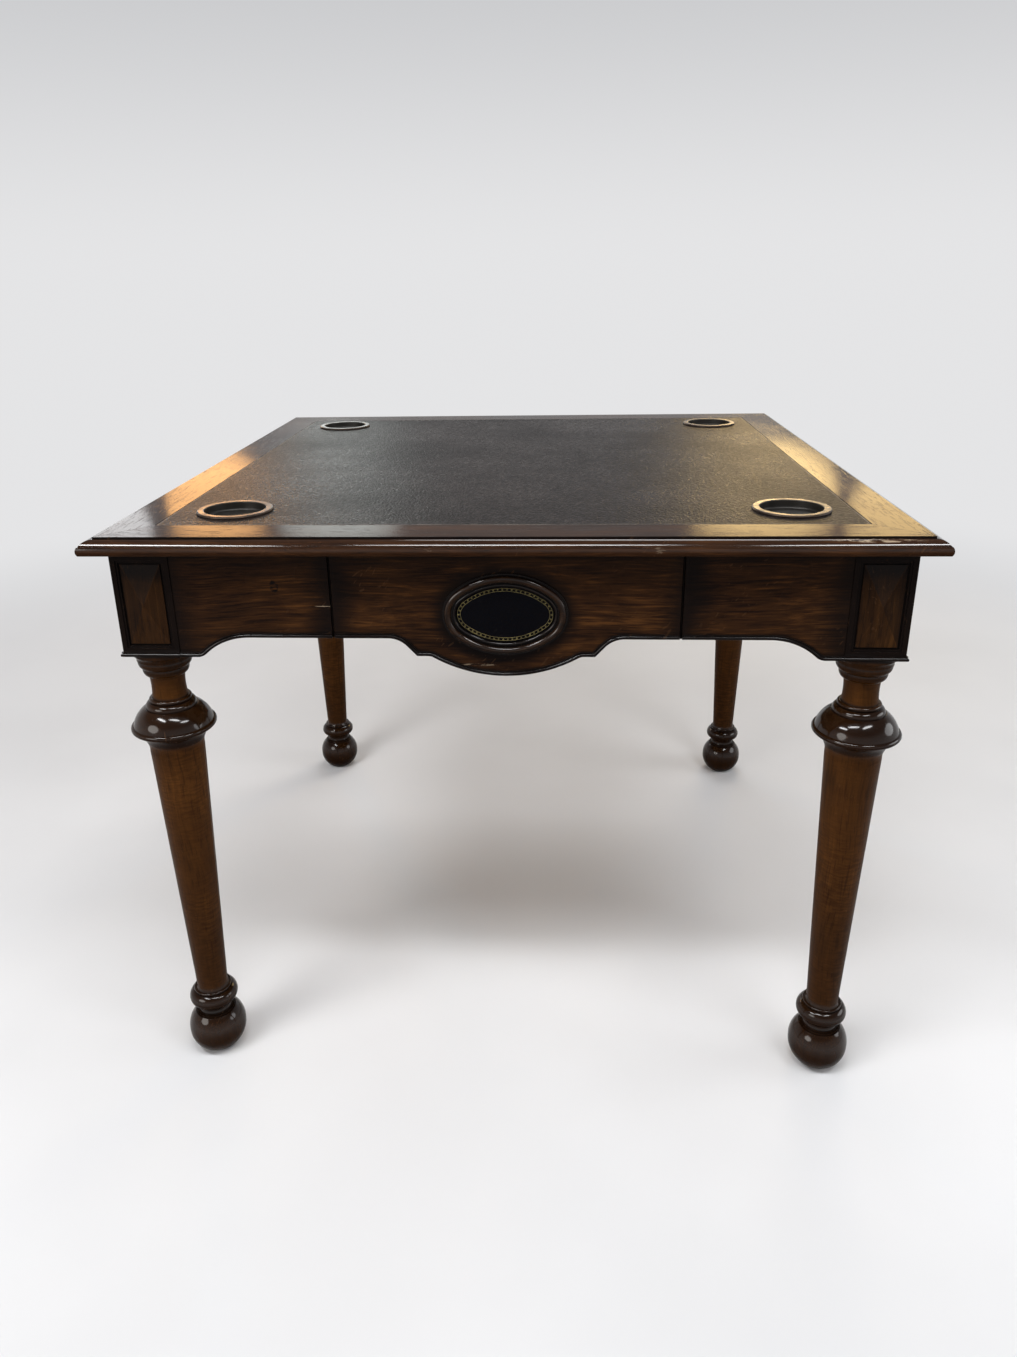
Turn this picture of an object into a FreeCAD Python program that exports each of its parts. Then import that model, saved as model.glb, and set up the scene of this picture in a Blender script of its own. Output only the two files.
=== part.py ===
import FreeCAD, Part
import math
import os
import Sketcher
from types import SimpleNamespace

# A square games table. Four turned legs with square posts carry an apron that has a drawer in each side,
# and a moulded top lined with leather holds four shallow drop-in dishes for glasses.
# Millimetres. The origin is on the floor under the middle of the table, +Z is up and the front faces -Y.

SIZES = {
    # Whole table
    "table_height": 762.0,
    "top_width": 965.0,
    "top_overhang": 25.5,
    # Top: mitred border boards with a moulded edge
    "border_width": 68.0,
    "border_thickness": 19.0,
    "edge_moulding_width": 15.0,
    "edge_quirk_depth": 2.4,
    "edge_quirk_width": 0.8,
    "edge_ovolo_depth": 6.4,
    "edge_fillet_width": 0.9,
    "edge_nose_width": 1.6,
    "edge_ovolo_share": 0.14,
    # Top: core board with a tongue all round, and the leather field
    "core_thickness": 14.0,
    "core_tongue_length": 9.0,
    "core_tongue_thickness": 6.0,
    "core_tongue_drop": 5.0,
    "leather_thickness": 1.6,
    "leather_gap": 0.5,
    # Dishes
    "dish_inset": 73.5,
    "dish_flange_radius": 46.5,
    "dish_flange_height": 3.0,
    "dish_lip_width": 1.6,
    "dish_bore_radius": 37.5,
    "dish_wall": 1.6,
    "dish_depth": 11.0,
    "dish_corner_radius": 3.0,
    "dish_hole_gap": 0.8,
    "dish_floor_gap": 0.5,
    "dish_rest_gap": 0.1,
    "dish_lip_share": 0.3,
    "quarter_round_share": 0.207,
    # Posts
    "post_width": 69.0,
    "post_height": 131.0,
    "post_corner_flat": 16.0,
    "bead_height": 6.0,
    "bead_round_height": 4.4,
    "bead_projection": 2.8,
    "bead_quirk_height": 0.5,
    "bead_quirk_projection": 0.7,
    "bead_fillet_projection": 1.6,
    "bead_root": 1.5,
    "bead_cusp_gap": 0.4,
    "post_bead_radius": 2.0,
    "post_field_side_margin": 8.5,
    "post_field_top_margin": 14.5,
    "post_field_bottom_margin": 13.5,
    "post_field_depth": 3.5,
    "post_step_width": 2.5,
    "post_step_depth": 1.4,
    "diamond_border": 2.5,
    "diamond_edge": 1.5,
    "diamond_point": 6.0,
    # Leg turning, from the floor up
    "foot_flat_radius": 20.0,
    "foot_radius": 38.8,
    "foot_lower_height": 34.0,
    "foot_upper_height": 28.0,
    "foot_top_radius": 27.6,
    "foot_lower_share": 0.136,
    "foot_upper_share": 0.115,
    "foot_fillet_height": 2.4,
    "foot_fillet_step": 1.8,
    "ankle_radius": 22.8,
    "ankle_height": 9.0,
    "ankle_share": 0.12,
    "ankle_ring_height": 23.0,
    "ankle_ring_share": 0.38,
    "ankle_cuff_height": 3.6,
    "ankle_cuff_share": 0.4,
    "shaft_foot_flare_height": 8.0,
    "shaft_foot_flare_width": 1.6,
    "shaft_foot_radius": 20.8,
    "shaft_foot_share": 0.1,
    # Leg turning, from the post down
    "collar_plate_radius": 36.4,
    "collar_plate_height": 5.0,
    "collar_cove_height": 8.0,
    "collar_cove_radius": 33.2,
    "collar_cove_share": 0.13,
    "collar_step": 1.2,
    "collar_middle_height": 10.0,
    "collar_middle_radius": 28.8,
    "collar_lower_height": 10.5,
    "collar_lower_radius": 24.4,
    "collar_ring_share": 0.16,
    "neck_radius": 21.8,
    "neck_height": 31.0,
    "neck_share": 0.04,
    "bulb_fillet_height": 5.0,
    "bulb_fillet_radius": 25.0,
    "bulb_fillet_share": 0.3,
    "bulb_ring_height": 8.0,
    "bulb_ring_radius": 31.0,
    "bulb_ring_share": 0.2,
    "bulb_dome_height": 22.0,
    "bulb_dome_top_radius": 32.6,
    "bulb_dome_radius": 48.8,
    "bulb_dome_share": 0.1,
    "bulb_lip_height": 7.6,
    "bulb_lip_share": 0.44,
    "bulb_under_height": 15.0,
    "bulb_under_radius": 46.8,
    "bulb_under_share": 0.08,
    "shaft_head_radius": 36.2,
    "shaft_flare_height": 14.0,
    "shaft_radius": 33.6,
    "shaft_flare_share": 0.08,
    # Apron end panels
    "apron_thickness": 20.0,
    "apron_setback": 1.0,
    "apron_rise": 25.0,
    "ogee_cove_share": 0.826,
    "ogee_foot_flat": 21.0,
    "ogee_run": 64.0,
    "panel_tenon_thickness": 8.0,
    "panel_tenon_margin": 26.0,
    "tenon_length": 12.0,
    # Rails, bearers and runners
    "upper_rail_thickness": 20.0,
    "lower_rail_thickness": 18.0,
    "lower_rail_rise": 1.0,
    "rail_tenon_inset": 6.0,
    "rail_tenon_width": 20.0,
    "rail_tenon_shoulder": 4.0,
    "bearer_thickness": 20.0,
    "runner_width": 12.0,
    # Corner blocks, leg bolts and top screws
    "block_length": 70.0,
    "block_corner_flat": 12.0,
    "block_end": 10.0,
    "bolt_radius": 4.0,
    "bolt_grip": 34.0,
    "bolt_spacing": 36.0,
    "bolt_end": 4.0,
    "hole_gap": 0.1,
    "bolt_hole_gap": 0.5,
    "washer_radius": 10.0,
    "washer_thickness": 2.0,
    "nut_radius": 7.5,
    "nut_height": 6.5,
    "screw_radius": 2.2,
    "screw_head_radius": 4.2,
    "screw_head_height": 3.0,
    "screw_bite": 11.0,
    "screw_sink": 6.0,
    "screw_recess_radius": 5.5,
    "screw_end_margin": 88.0,
    "screw_inset": 13.0,
    # Drawer fronts
    "drawer_front_width": 400.0,
    "drawer_gap": 3.0,
    "drawer_back_gap": 0.3,
    "drop_step_fall": 22.0,
    "drop_fall": 24.5,
    "drop_cusp_place": 104.0,
    "drop_step_width": 13.0,
    "drop_cove_radius": 30.0,
    "drop_cove_run": 22.0,
    "drop_turn_radius": 12.0,
    # Drawer boxes
    "drawer_box_inset": 3.5,
    "drawer_side_thickness": 12.0,
    "drawer_head_gap": 5.8,
    "drawer_side_gap": 1.0,
    "drawer_run_gap": 0.2,
    "drawer_end_gap": 3.0,
    "tail_length": 10.0,
    "tail_root_share": 0.46,
    "tail_tip_share": 0.68,
    "drawer_bottom_thickness": 5.0,
    "drawer_bottom_rise": 8.0,
    "drawer_bottom_groove": 5.0,
    "drawer_back_thickness": 12.0,
    "drawer_back_inset": 6.0,
    "drawer_back_dado": 4.0,
    "drawer_stop_width": 90.0,
    "drawer_stop_height": 11.0,
    # Oval medallion
    "oval_rise": 30.0,
    "oval_half_width": 57.4,
    "oval_half_height": 34.4,
    "oval_end_radius": 22.0,
    "oval_moulding_width": 15.0,
    "oval_lip_width": 3.4,
    "oval_lip_height": 3.4,
    "oval_lip_share": 0.3,
    "oval_hollow_width": 1.6,
    "oval_hollow_height": 2.2,
    "oval_crest_height": 4.2,
    "oval_crest_share": 0.45,
    "oval_rim_width": 2.0,
    "oval_rim_height": 2.4,
    "oval_leather_thickness": 1.6,
    "oval_leather_gap": 0.3,
    # Every cut runs this far past the face that it breaks
    "overrun": 5.0,
}
TAILS = 3
SAME_PLACE = 1e-4

doc = FreeCAD.newDocument("GamesTable")
sheet = doc.addObject("Spreadsheet::Sheet", "Sizes")
for row, (alias, number) in enumerate(SIZES.items(), start=1):
    sheet.set(f"A{row}", alias)
    sheet.set(f"B{row}", str(number))
    sheet.setAlias(f"B{row}", alias)
doc.recompute()


# Sizes that carry their sheet expression

class Length:
    """A size with its value and the sheet expression that gives it."""

    def __init__(self, value, text):
        self.value = value
        self.text = text

    def __add__(self, other):
        other = as_length(other)
        return Length(self.value + other.value, f"({self.text} + {other.text})")

    def __sub__(self, other):
        other = as_length(other)
        return Length(self.value - other.value, f"({self.text} - {other.text})")

    def __mul__(self, other):
        other = as_length(other)
        return Length(self.value * other.value, f"({self.text} * {other.text})")

    def __truediv__(self, other):
        other = as_length(other)
        return Length(self.value / other.value, f"({self.text} / {other.text})")

    def __neg__(self):
        return Length(-self.value, f"(0 - {self.text})")

    def __radd__(self, other):
        return as_length(other) + self

    def __rsub__(self, other):
        return as_length(other) - self

    def __rmul__(self, other):
        return as_length(other) * self


def as_length(number):
    """Return a plain number as a Length, and a Length as it is."""
    if isinstance(number, Length):
        return number
    return Length(float(number), str(number))


def square_root(length):
    return Length(math.sqrt(length.value), f"sqrt({length.text})")


size = SimpleNamespace(**{alias: Length(float(sheet.get(alias)), f"Sizes.{alias}") for alias in SIZES})


def bind(thing, name, length):
    """Tie one property of an object to the sheet."""
    thing.setExpression(name, as_length(length).text)


def put(thing, x, y, z):
    """Tie the place of an object to the sheet."""
    bind(thing, "Placement.Base.x", x)
    bind(thing, "Placement.Base.y", y)
    bind(thing, "Placement.Base.z", z)


# Sketches and the features made from them

def bulge(share):
    """An arc whose rise is a share of its chord; it runs counter-clockwise when the share is positive."""
    return lambda chord: chord * (share * share + 0.25) / (share * 2)


def turn(radius):
    """An arc of a given radius, counter-clockwise when the radius is positive."""
    return lambda chord: radius


def arc_between(start, end, radius):
    """Return the arc under a half circle from start to end; a negative radius runs clockwise."""
    middle = (start + end) / 2
    half = (end - start) / 2
    side = 1 if radius > 0 else -1
    rise = math.sqrt(max(radius * radius - half.Length ** 2, 0))
    left = FreeCAD.Vector(-half.y, half.x, 0).normalize()
    centre = middle + left * rise * side
    first, last = (start, end) if side > 0 else (end, start)
    first_angle = math.atan2(first.y - centre.y, first.x - centre.x)
    last_angle = math.atan2(last.y - centre.y, last.x - centre.x)
    if last_angle < first_angle:
        last_angle += 2 * math.pi
    circle = Part.Circle(centre, FreeCAD.Vector(0, 0, 1), abs(radius))
    return Part.ArcOfCircle(circle, first_angle, last_angle)


def trace(sketch, corners, closed=True):
    """Draw an outline through (x, y) corners; a bend as third entry makes the stretch that follows an arc."""
    corners = [(as_length(corner[0]), as_length(corner[1]), *corner[2:]) for corner in corners]
    points = [FreeCAD.Vector(corner[0].value, corner[1].value, 0) for corner in corners]
    stretches = len(corners) if closed else len(corners) - 1
    ends = []
    rules = []
    texts = []
    for index in range(stretches):
        following = (index + 1) % len(corners)
        start, end = points[index], points[following]
        if len(corners[index]) == 2:
            sketch.addGeometry(Part.LineSegment(start, end), False)
            ends.append((1, 2))
            continue
        across = corners[following][0] - corners[index][0]
        along = corners[following][1] - corners[index][1]
        radius = corners[index][2](square_root(across * across + along * along))
        clockwise = radius.value < 0
        sketch.addGeometry(arc_between(start, end, radius.value), False)
        ends.append((2, 1) if clockwise else (1, 2))
        rules.append(Sketcher.Constraint("Radius", index, abs(radius.value)))
        texts.append((-radius if clockwise else radius).text)
    for index, corner in enumerate(corners):
        geometry, end = (index, ends[index][0]) if index < stretches else (index - 1, ends[index - 1][1])
        rules.append(Sketcher.Constraint("DistanceX", -1, 1, geometry, end, corner[0].value))
        texts.append(corner[0].text)
        rules.append(Sketcher.Constraint("DistanceY", -1, 1, geometry, end, corner[1].value))
        texts.append(corner[1].text)
    joints = stretches if closed else stretches - 1
    for index in range(joints):
        following = (index + 1) % stretches
        rules.append(Sketcher.Constraint("Coincident", index, ends[index][1], following, ends[following][0]))
    sketch.addConstraint(rules)
    for index, text in enumerate(texts):
        sketch.setExpression(f"Constraints[{index}]", text)


def new_body(name):
    return doc.addObject("PartDesign::Body", name)


def sketch_on(body, role, offset, corners, closed=True):
    """Add a sketch to a body, on one of its origin planes moved along the plane's own normal."""
    plane = next(feature for feature in body.Origin.OriginFeatures if feature.Role == role)
    sketch = body.newObject("Sketcher::SketchObject", body.Name + "_outline")
    sketch.AttachmentSupport = (plane, [""])
    sketch.MapMode = "FlatFace"
    bind(sketch, "AttachmentOffset.Base.z", offset)
    trace(sketch, corners, closed)
    return sketch


def pad(body, sketch, length):
    feature = body.newObject("PartDesign::Pad", body.Name + "_pad")
    feature.Profile = sketch
    bind(feature, "Length", length)
    return feature


def revolve(body, sketch):
    feature = body.newObject("PartDesign::Revolution", body.Name + "_turning")
    feature.Profile = sketch
    feature.ReferenceAxis = (sketch, ["V_Axis"])
    feature.Angle = 360
    return feature


def pipe(body, profile, path):
    feature = body.newObject("PartDesign::AdditivePipe", body.Name + "_moulding")
    feature.Profile = profile
    feature.Spine = (path, [f"Edge{index + 1}" for index in range(path.GeometryCount)])
    return feature


# Plain solids, booleans and copies

def box(name, x, y, z):
    """A block between the low and high ends given for each axis."""
    thing = doc.addObject("Part::Box", name)
    for span, (low, high) in zip(("Length", "Width", "Height"), (x, y, z)):
        bind(thing, span, as_length(high) - low)
    put(thing, x[0], y[0], z[0])
    return thing


def rod(name, radius, length, x, y, z, axis=(0, 0, 1)):
    """A cylinder that starts at a point and runs along an axis."""
    thing = doc.addObject("Part::Cylinder", name)
    bind(thing, "Radius", radius)
    bind(thing, "Height", length)
    thing.Placement.Rotation = FreeCAD.Rotation(FreeCAD.Vector(0, 0, 1), FreeCAD.Vector(*axis))
    put(thing, x, y, z)
    return thing


def fuse(name, things):
    result = doc.addObject("Part::MultiFuse", name)
    result.Shapes = things
    return result


def cut(name, base, tools):
    """Cut one or several tools out of a base."""
    tool = tools[0] if len(tools) == 1 else fuse(name + "_tools", tools)
    result = doc.addObject("Part::Cut", name)
    result.Base = base
    result.Tool = tool
    return result


def common(name, base, tool):
    result = doc.addObject("Part::Common", name)
    result.Base = base
    result.Tool = tool
    return result


def group(name, things):
    result = doc.addObject("Part::Compound", name)
    result.Links = things
    return result


def turned(name, things, quarter):
    """Copy pieces, turned about the table's middle by a number of quarter turns."""
    result = group(name, things)
    result.Placement.Rotation = FreeCAD.Rotation(FreeCAD.Vector(0, 0, 1), 90 * quarter)
    return result


def mirrored(name, thing):
    """Copy a piece to the other end of the front."""
    result = doc.addObject("Part::Mirroring", name)
    result.Source = thing
    result.Normal = FreeCAD.Vector(1, 0, 0)
    return result


SIDES = ("front", "right", "back", "left")
CORNERS = ("front_left", "front_right", "back_right", "back_left")
nodes = []


def node(label, thing):
    """Hand in a piece under its name."""
    thing.Label = label
    nodes.append(thing)
    return thing


def on_each_side(pattern, thing):
    """Hand in a piece of the front and its copies on the other sides."""
    copies = []
    for quarter, side in enumerate(SIDES):
        copies.append(node(pattern.format(side), turned(pattern.format(side), [thing], quarter)))
    return copies


def all_round(label, things):
    """Hand in the pieces of one side or corner, with their copies all round, as one group."""
    return node(label, group(label, [turned(label + "_part", things, quarter) for quarter in range(4)]))


# Levels and planes that several pieces share

half_top = size.top_width / 2
half_field = half_top - size.border_width
border_bottom = size.table_height - size.border_thickness
core_top = size.table_height - size.leather_thickness
core_bottom = core_top - size.core_thickness
half_apron = half_top - size.top_overhang
post_inner = half_apron - size.post_width
leg_place = half_apron - size.post_width / 2
apron_face = half_apron - size.apron_setback
apron_back = apron_face - size.apron_thickness
post_bottom = border_bottom - size.post_height
apron_flat = post_bottom + size.apron_rise
upper_rail_bottom = border_bottom - size.upper_rail_thickness
lower_rail_bottom = apron_flat + size.lower_rail_rise
lower_rail_top = lower_rail_bottom + size.lower_rail_thickness
half_front = size.drawer_front_width / 2
half_opening = half_front + size.drawer_gap
half_box = half_front - size.drawer_box_inset
bearer_inner = half_box + size.drawer_side_gap
bearer_outer = bearer_inner + size.bearer_thickness
box_end = bearer_outer + size.drawer_end_gap
front_back = apron_back + size.drawer_back_gap
dish_place = half_field - size.dish_inset
dish_outer_radius = size.dish_bore_radius + size.dish_wall


# Legs: a turning below a square post, with a bead round the foot of the post's outer faces

def leg_profile():
    """The half outline of the turning, from the middle of the foot to the middle of the collar."""
    outline = [(0, 0), (size.foot_flat_radius, 0, bulge(size.foot_lower_share))]
    level = size.foot_lower_height
    outline.append((size.foot_radius, level, bulge(size.foot_upper_share)))
    level = level + size.foot_upper_height
    outline.append((size.foot_top_radius, level))
    fillet_radius = size.foot_top_radius - size.foot_fillet_step
    outline.append((fillet_radius, level))
    level = level + size.foot_fillet_height
    outline.append((fillet_radius, level))
    ankle_edge = fillet_radius - size.foot_fillet_step
    outline.append((ankle_edge, level))
    level = level + size.foot_fillet_height
    outline.append((ankle_edge, level))
    outline.append((size.ankle_radius, level, bulge(-size.ankle_share)))
    level = level + size.ankle_height
    outline.append((size.ankle_radius, level))
    outline.append((ankle_edge, level, bulge(size.ankle_ring_share)))
    level = level + size.ankle_ring_height
    outline.append((ankle_edge, level, bulge(size.ankle_cuff_share)))
    level = level + size.ankle_cuff_height
    outline.append((ankle_edge, level))
    flare_radius = size.shaft_foot_radius + size.shaft_foot_flare_width
    outline.append((flare_radius, level, bulge(-size.shaft_foot_share)))
    level = level + size.shaft_foot_flare_height
    outline.append((size.shaft_foot_radius, level))
    return outline + leg_profile_top()


def leg_profile_top():
    """The upper part of the turning, worked out downwards from the post."""
    downwards = []
    level = post_bottom
    downwards.append((0, level))
    downwards.append((size.collar_plate_radius, level))
    level = level - size.collar_plate_height
    downwards.append((size.collar_plate_radius, level))
    level = level - size.collar_cove_height
    downwards.append((size.collar_cove_radius, level, bulge(-size.collar_cove_share)))
    downwards.append((size.collar_cove_radius - size.collar_step, level))
    level = level - size.collar_middle_height
    downwards.append((size.collar_middle_radius, level, bulge(size.collar_ring_share)))
    downwards.append((size.collar_middle_radius - size.collar_step, level))
    level = level - size.collar_lower_height
    downwards.append((size.collar_lower_radius, level, bulge(size.collar_ring_share)))
    downwards.append((size.neck_radius, level))
    level = level - size.neck_height
    downwards.append((size.neck_radius, level, bulge(-size.neck_share)))
    downwards.append((size.bulb_fillet_radius - size.collar_step, level))
    level = level - size.bulb_fillet_height
    downwards.append((size.bulb_fillet_radius, level, bulge(size.bulb_fillet_share)))
    level = level - size.bulb_ring_height
    downwards.append((size.bulb_ring_radius, level, bulge(size.bulb_ring_share)))
    downwards.append((size.bulb_dome_top_radius, level))
    level = level - size.bulb_dome_height
    downwards.append((size.bulb_dome_radius, level, bulge(size.bulb_dome_share)))
    level = level - size.bulb_lip_height
    downwards.append((size.bulb_dome_radius, level, bulge(size.bulb_lip_share)))
    downwards.append((size.bulb_under_radius, level))
    level = level - size.bulb_under_height
    downwards.append((size.shaft_head_radius, level, bulge(-size.bulb_under_share)))
    level = level - size.shaft_flare_height
    downwards.append((size.shaft_radius, level, bulge(-size.shaft_flare_share)))
    return downwards[::-1]


def post_plan(reach):
    """The post in plan, its outer faces so far from its axis and its inner corner cut off."""
    half = size.post_width / 2
    flat = half - size.post_corner_flat
    return [(-reach, -reach), (half, -reach), (half, flat), (flat, half), (-reach, half)]


def leg_blank():
    """The leg before its joints are cut, standing on its own axis and then moved to its corner."""
    body = new_body("LegBlank")
    revolve(body, sketch_on(body, "XZ_Plane", 0, leg_profile()))
    half = size.post_width / 2
    rim = half + size.bead_projection
    bead = pad(body, sketch_on(body, "XY_Plane", post_bottom, post_plan(rim)), size.bead_round_height)
    doc.recompute()
    bead_levels = (post_bottom.value, (post_bottom + size.bead_round_height).value)
    rounded = body.newObject("PartDesign::Fillet", "LegBlank_bead")
    rounded.Base = (bead, rim_edges(bead.Shape, -rim.value, bead_levels))
    bind(rounded, "Radius", size.post_bead_radius)
    level = post_bottom + size.bead_round_height / 2
    pad(body, sketch_on(body, "XY_Plane", level, post_plan(half)), border_bottom - level)
    level = post_bottom + size.bead_round_height + size.bead_quirk_height
    fillet = post_plan(half + size.bead_fillet_projection)
    pad(body, sketch_on(body, "XY_Plane", level, fillet), post_bottom + size.bead_height - level)
    put(body, -leg_place, -leg_place, 0)
    return body


def lies_at(low, high, place):
    """Tell whether both ends of a span lie at one place."""
    return abs(low - place) + abs(high - place) < SAME_PLACE


def rim_edges(shape, rim, levels):
    """Name the level edges that run along the two outer faces of the bead plate."""
    names = []
    for index, edge in enumerate(shape.Edges):
        bounds = edge.BoundBox
        level = any(lies_at(bounds.ZMin, bounds.ZMax, level) for level in levels)
        along_x = lies_at(bounds.YMin, bounds.YMax, rim)
        along_y = lies_at(bounds.XMin, bounds.XMax, rim)
        if level and (along_x or along_y):
            names.append(f"Edge{index + 1}")
    return names


# Apron: end panels, drawer fronts and the bead that follows their shaped lower edge

def bead_profile(body, place, level):
    """The bead in section where the lower edge of the apron runs level: a round, a quirk and a fillet."""
    root = -(apron_face - size.bead_root)
    fillet_face = -(apron_face + size.bead_fillet_projection)
    quirk_face = -(apron_face + size.bead_quirk_projection)
    top = level + size.bead_height
    round_top = level + size.bead_round_height
    fillet_bottom = round_top + size.bead_quirk_height
    round_share = (size.bead_projection - size.bead_quirk_projection) / size.bead_round_height
    corners = [(root, level), (root, top), (fillet_face, top), (fillet_face, fillet_bottom),
               (quirk_face, fillet_bottom), (quirk_face, round_top, bulge(round_share)), (quirk_face, level)]
    return sketch_on(body, "YZ_Plane", place, corners)


def end_panel():
    """The fixed panel between the drawer and the right-hand post of the front."""
    body = new_body("EndPanel")
    run = size.ogee_run
    rise = size.apron_rise
    radii = (run * run + rise * rise) / (rise * 2)
    cove_radius = radii * size.ogee_cove_share
    foot_end = post_inner - size.ogee_foot_flat
    cove_start = foot_end - run
    turn_place = cove_start + run * size.ogee_cove_share
    turn_level = apron_flat - rise * size.ogee_cove_share
    lower_edge = [(half_opening, apron_flat), (cove_start, apron_flat, turn(-cove_radius)),
                  (turn_place, turn_level, turn(radii - cove_radius)), (foot_end, post_bottom),
                  (post_inner, post_bottom)]
    outline = lower_edge + [(post_inner, border_bottom), (half_opening, border_bottom)]
    pad(body, sketch_on(body, "XZ_Plane", apron_back, outline), size.apron_thickness)
    path = sketch_on(body, "XZ_Plane", apron_face, lower_edge, closed=False)
    pipe(body, bead_profile(body, half_opening, apron_flat), path)
    tenon_end = post_inner + size.tenon_length
    tenon_start = post_inner - size.overrun
    tenon_low = post_bottom + size.panel_tenon_margin
    tenon_high = border_bottom - size.panel_tenon_margin
    tenon = [(tenon_start, tenon_low), (tenon_end, tenon_low),
             (tenon_end, tenon_high), (tenon_start, tenon_high)]
    tenon_back = apron_back + (size.apron_thickness - size.panel_tenon_thickness) / 2
    pad(body, sketch_on(body, "XZ_Plane", tenon_back, tenon), size.panel_tenon_thickness)
    return body


def drawer_front_blank():
    """The drawer front with its shaped drop and bead, before the joints are cut."""
    body = new_body("DrawerFront")
    flat = apron_flat
    step = flat - size.drop_step_fall
    cusp = size.drop_cusp_place
    cove = size.drop_cove_radius
    cove_run = size.drop_cove_run
    cove_centre = square_root(cove * cove - cove_run * cove_run)
    slope_level = flat - cove + cove_centre
    slope_end = cusp + (slope_level - step) * cove_centre / cove_run
    cove_end = slope_end + cove_run
    step_end = cusp - size.drop_step_width
    fall = size.drop_fall
    radii = (step_end * step_end + fall * fall) / (fall * 2)
    bend = size.drop_turn_radius
    belly = radii - bend
    turn_place = step_end - step_end * bend / radii
    turn_level = step - bend + (radii - fall) * bend / radii
    middle = [(-cusp, step), (-step_end, step, turn(-bend)), (-turn_place, turn_level, turn(belly)),
              (turn_place, turn_level, turn(-bend)), (step_end, step)]
    right = [(cusp, step), (slope_end, slope_level, turn(-cove)), (cove_end, flat), (half_front, flat)]
    top = border_bottom - size.drawer_gap
    left = [(-half_front, flat), (-cove_end, flat, turn(-cove)), (-slope_end, slope_level)]
    outline = middle + right + [(half_front, top), (-half_front, top)] + left
    pad(body, sketch_on(body, "XZ_Plane", front_back, outline), apron_face - front_back)
    left_path = left + [(-cusp, step)]
    bead_end = cusp - size.bead_cusp_gap
    middle_path = [(-bead_end, step)] + middle[1:] + [(bead_end, step)]
    right_path = [(half_front, flat), (cove_end, flat, turn(cove)), (slope_end, slope_level), (cusp, step)]
    for start, level, path in ((-half_front, flat, left_path), (-bead_end, step, middle_path),
                               (half_front, flat, right_path)):
        spine = sketch_on(body, "XZ_Plane", apron_face, path, closed=False)
        pipe(body, bead_profile(body, start, level), spine)
    return body


# Drawer boxes: dovetailed sides, a back with a stop lug, and a bottom in grooves

box_bottom = lower_rail_top + size.drawer_run_gap
box_top = upper_rail_bottom - size.drawer_head_gap
bottom_low = box_bottom + size.drawer_bottom_rise
bottom_high = bottom_low + size.drawer_bottom_thickness
side_inner = half_box - size.drawer_side_thickness


def drawer_side_blank():
    """The right-hand side, with its tails, before the grooves are cut."""
    body = new_body("DrawerSide")
    pitch = (box_top - box_bottom) / TAILS
    tail_end = -(front_back + size.tail_length)
    outline = [(-box_end, box_bottom), (-box_end, box_top), (-front_back, box_top)]
    for index in range(TAILS):
        middle = box_top - pitch * (index + 0.5)
        root = pitch * size.tail_root_share / 2
        tip = pitch * size.tail_tip_share / 2
        outline += [(-front_back, middle + root), (tail_end, middle + tip),
                    (tail_end, middle - tip), (-front_back, middle - root)]
    outline.append((-front_back, box_bottom))
    pad(body, sketch_on(body, "YZ_Plane", side_inner, outline), size.drawer_side_thickness)
    return body


def drawer_back():
    """The back, let into the sides, with a lug that stops the drawer against the upper rail."""
    body = new_body("DrawerBack")
    half = side_inner + size.drawer_back_dado
    lug = size.drawer_stop_width / 2
    lug_top = box_top + size.drawer_stop_height
    outline = [(-half, bottom_high), (half, bottom_high), (half, box_top), (lug, box_top),
               (lug, lug_top), (-lug, lug_top), (-lug, box_top), (-half, box_top)]
    back_place = box_end + size.drawer_back_inset
    pad(body, sketch_on(body, "XZ_Plane", back_place, outline), size.drawer_back_thickness)
    return body


def drawer_bottom():
    half = side_inner + size.drawer_bottom_groove
    return box("DrawerBottom", (-half, half), (-(front_back + size.drawer_bottom_groove), -box_end),
               (bottom_low, bottom_high))


# Oval medallion: a moulding and a leather field, both on ovals struck from four centres

def oval(half_width, half_height, end_radius):
    """Corners of an oval from its right-hand end, counter-clockwise, as four arcs run into each other."""
    reach = half_width - end_radius
    side_radius = (reach * reach + half_height * half_height - end_radius * end_radius)
    side_radius = side_radius / ((half_height - end_radius) * 2)
    x = reach * side_radius / (side_radius - end_radius)
    z = (side_radius - half_height) * end_radius / (side_radius - end_radius)
    return [(half_width, 0, turn(end_radius)), (x, z, turn(side_radius)), (-x, z, turn(end_radius)),
            (-x, -z, turn(side_radius)), (x, -z, turn(end_radius))]


def oval_moulding():
    """The raised wooden moulding: a small inner bead, a hollow, a full round and a thin outer rim."""
    body = new_body("OvalMoulding")
    path = oval(size.oval_half_width, size.oval_half_height, size.oval_end_radius)
    inner = size.oval_half_width
    outer = inner + size.oval_moulding_width
    lip_edge = inner + size.oval_lip_width
    crest_inner = lip_edge + size.oval_hollow_width
    crest_outer = outer - size.oval_rim_width
    corners = [(inner, -apron_face),
               (inner, -(apron_face + size.oval_lip_height), bulge(size.oval_lip_share)),
               (lip_edge, -(apron_face + size.oval_lip_height)),
               (lip_edge, -(apron_face + size.oval_hollow_height)),
               (crest_inner, -(apron_face + size.oval_hollow_height)),
               (crest_inner, -(apron_face + size.oval_crest_height), bulge(size.oval_crest_share)),
               (crest_outer, -(apron_face + size.oval_crest_height)),
               (crest_outer, -(apron_face + size.oval_rim_height)),
               (outer, -(apron_face + size.oval_rim_height)),
               (outer, -apron_face)]
    pipe(body, sketch_on(body, "XY_Plane", 0, corners), sketch_on(body, "XZ_Plane", apron_face, path))
    put(body, 0, 0, apron_flat + size.oval_rise)
    return body


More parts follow.
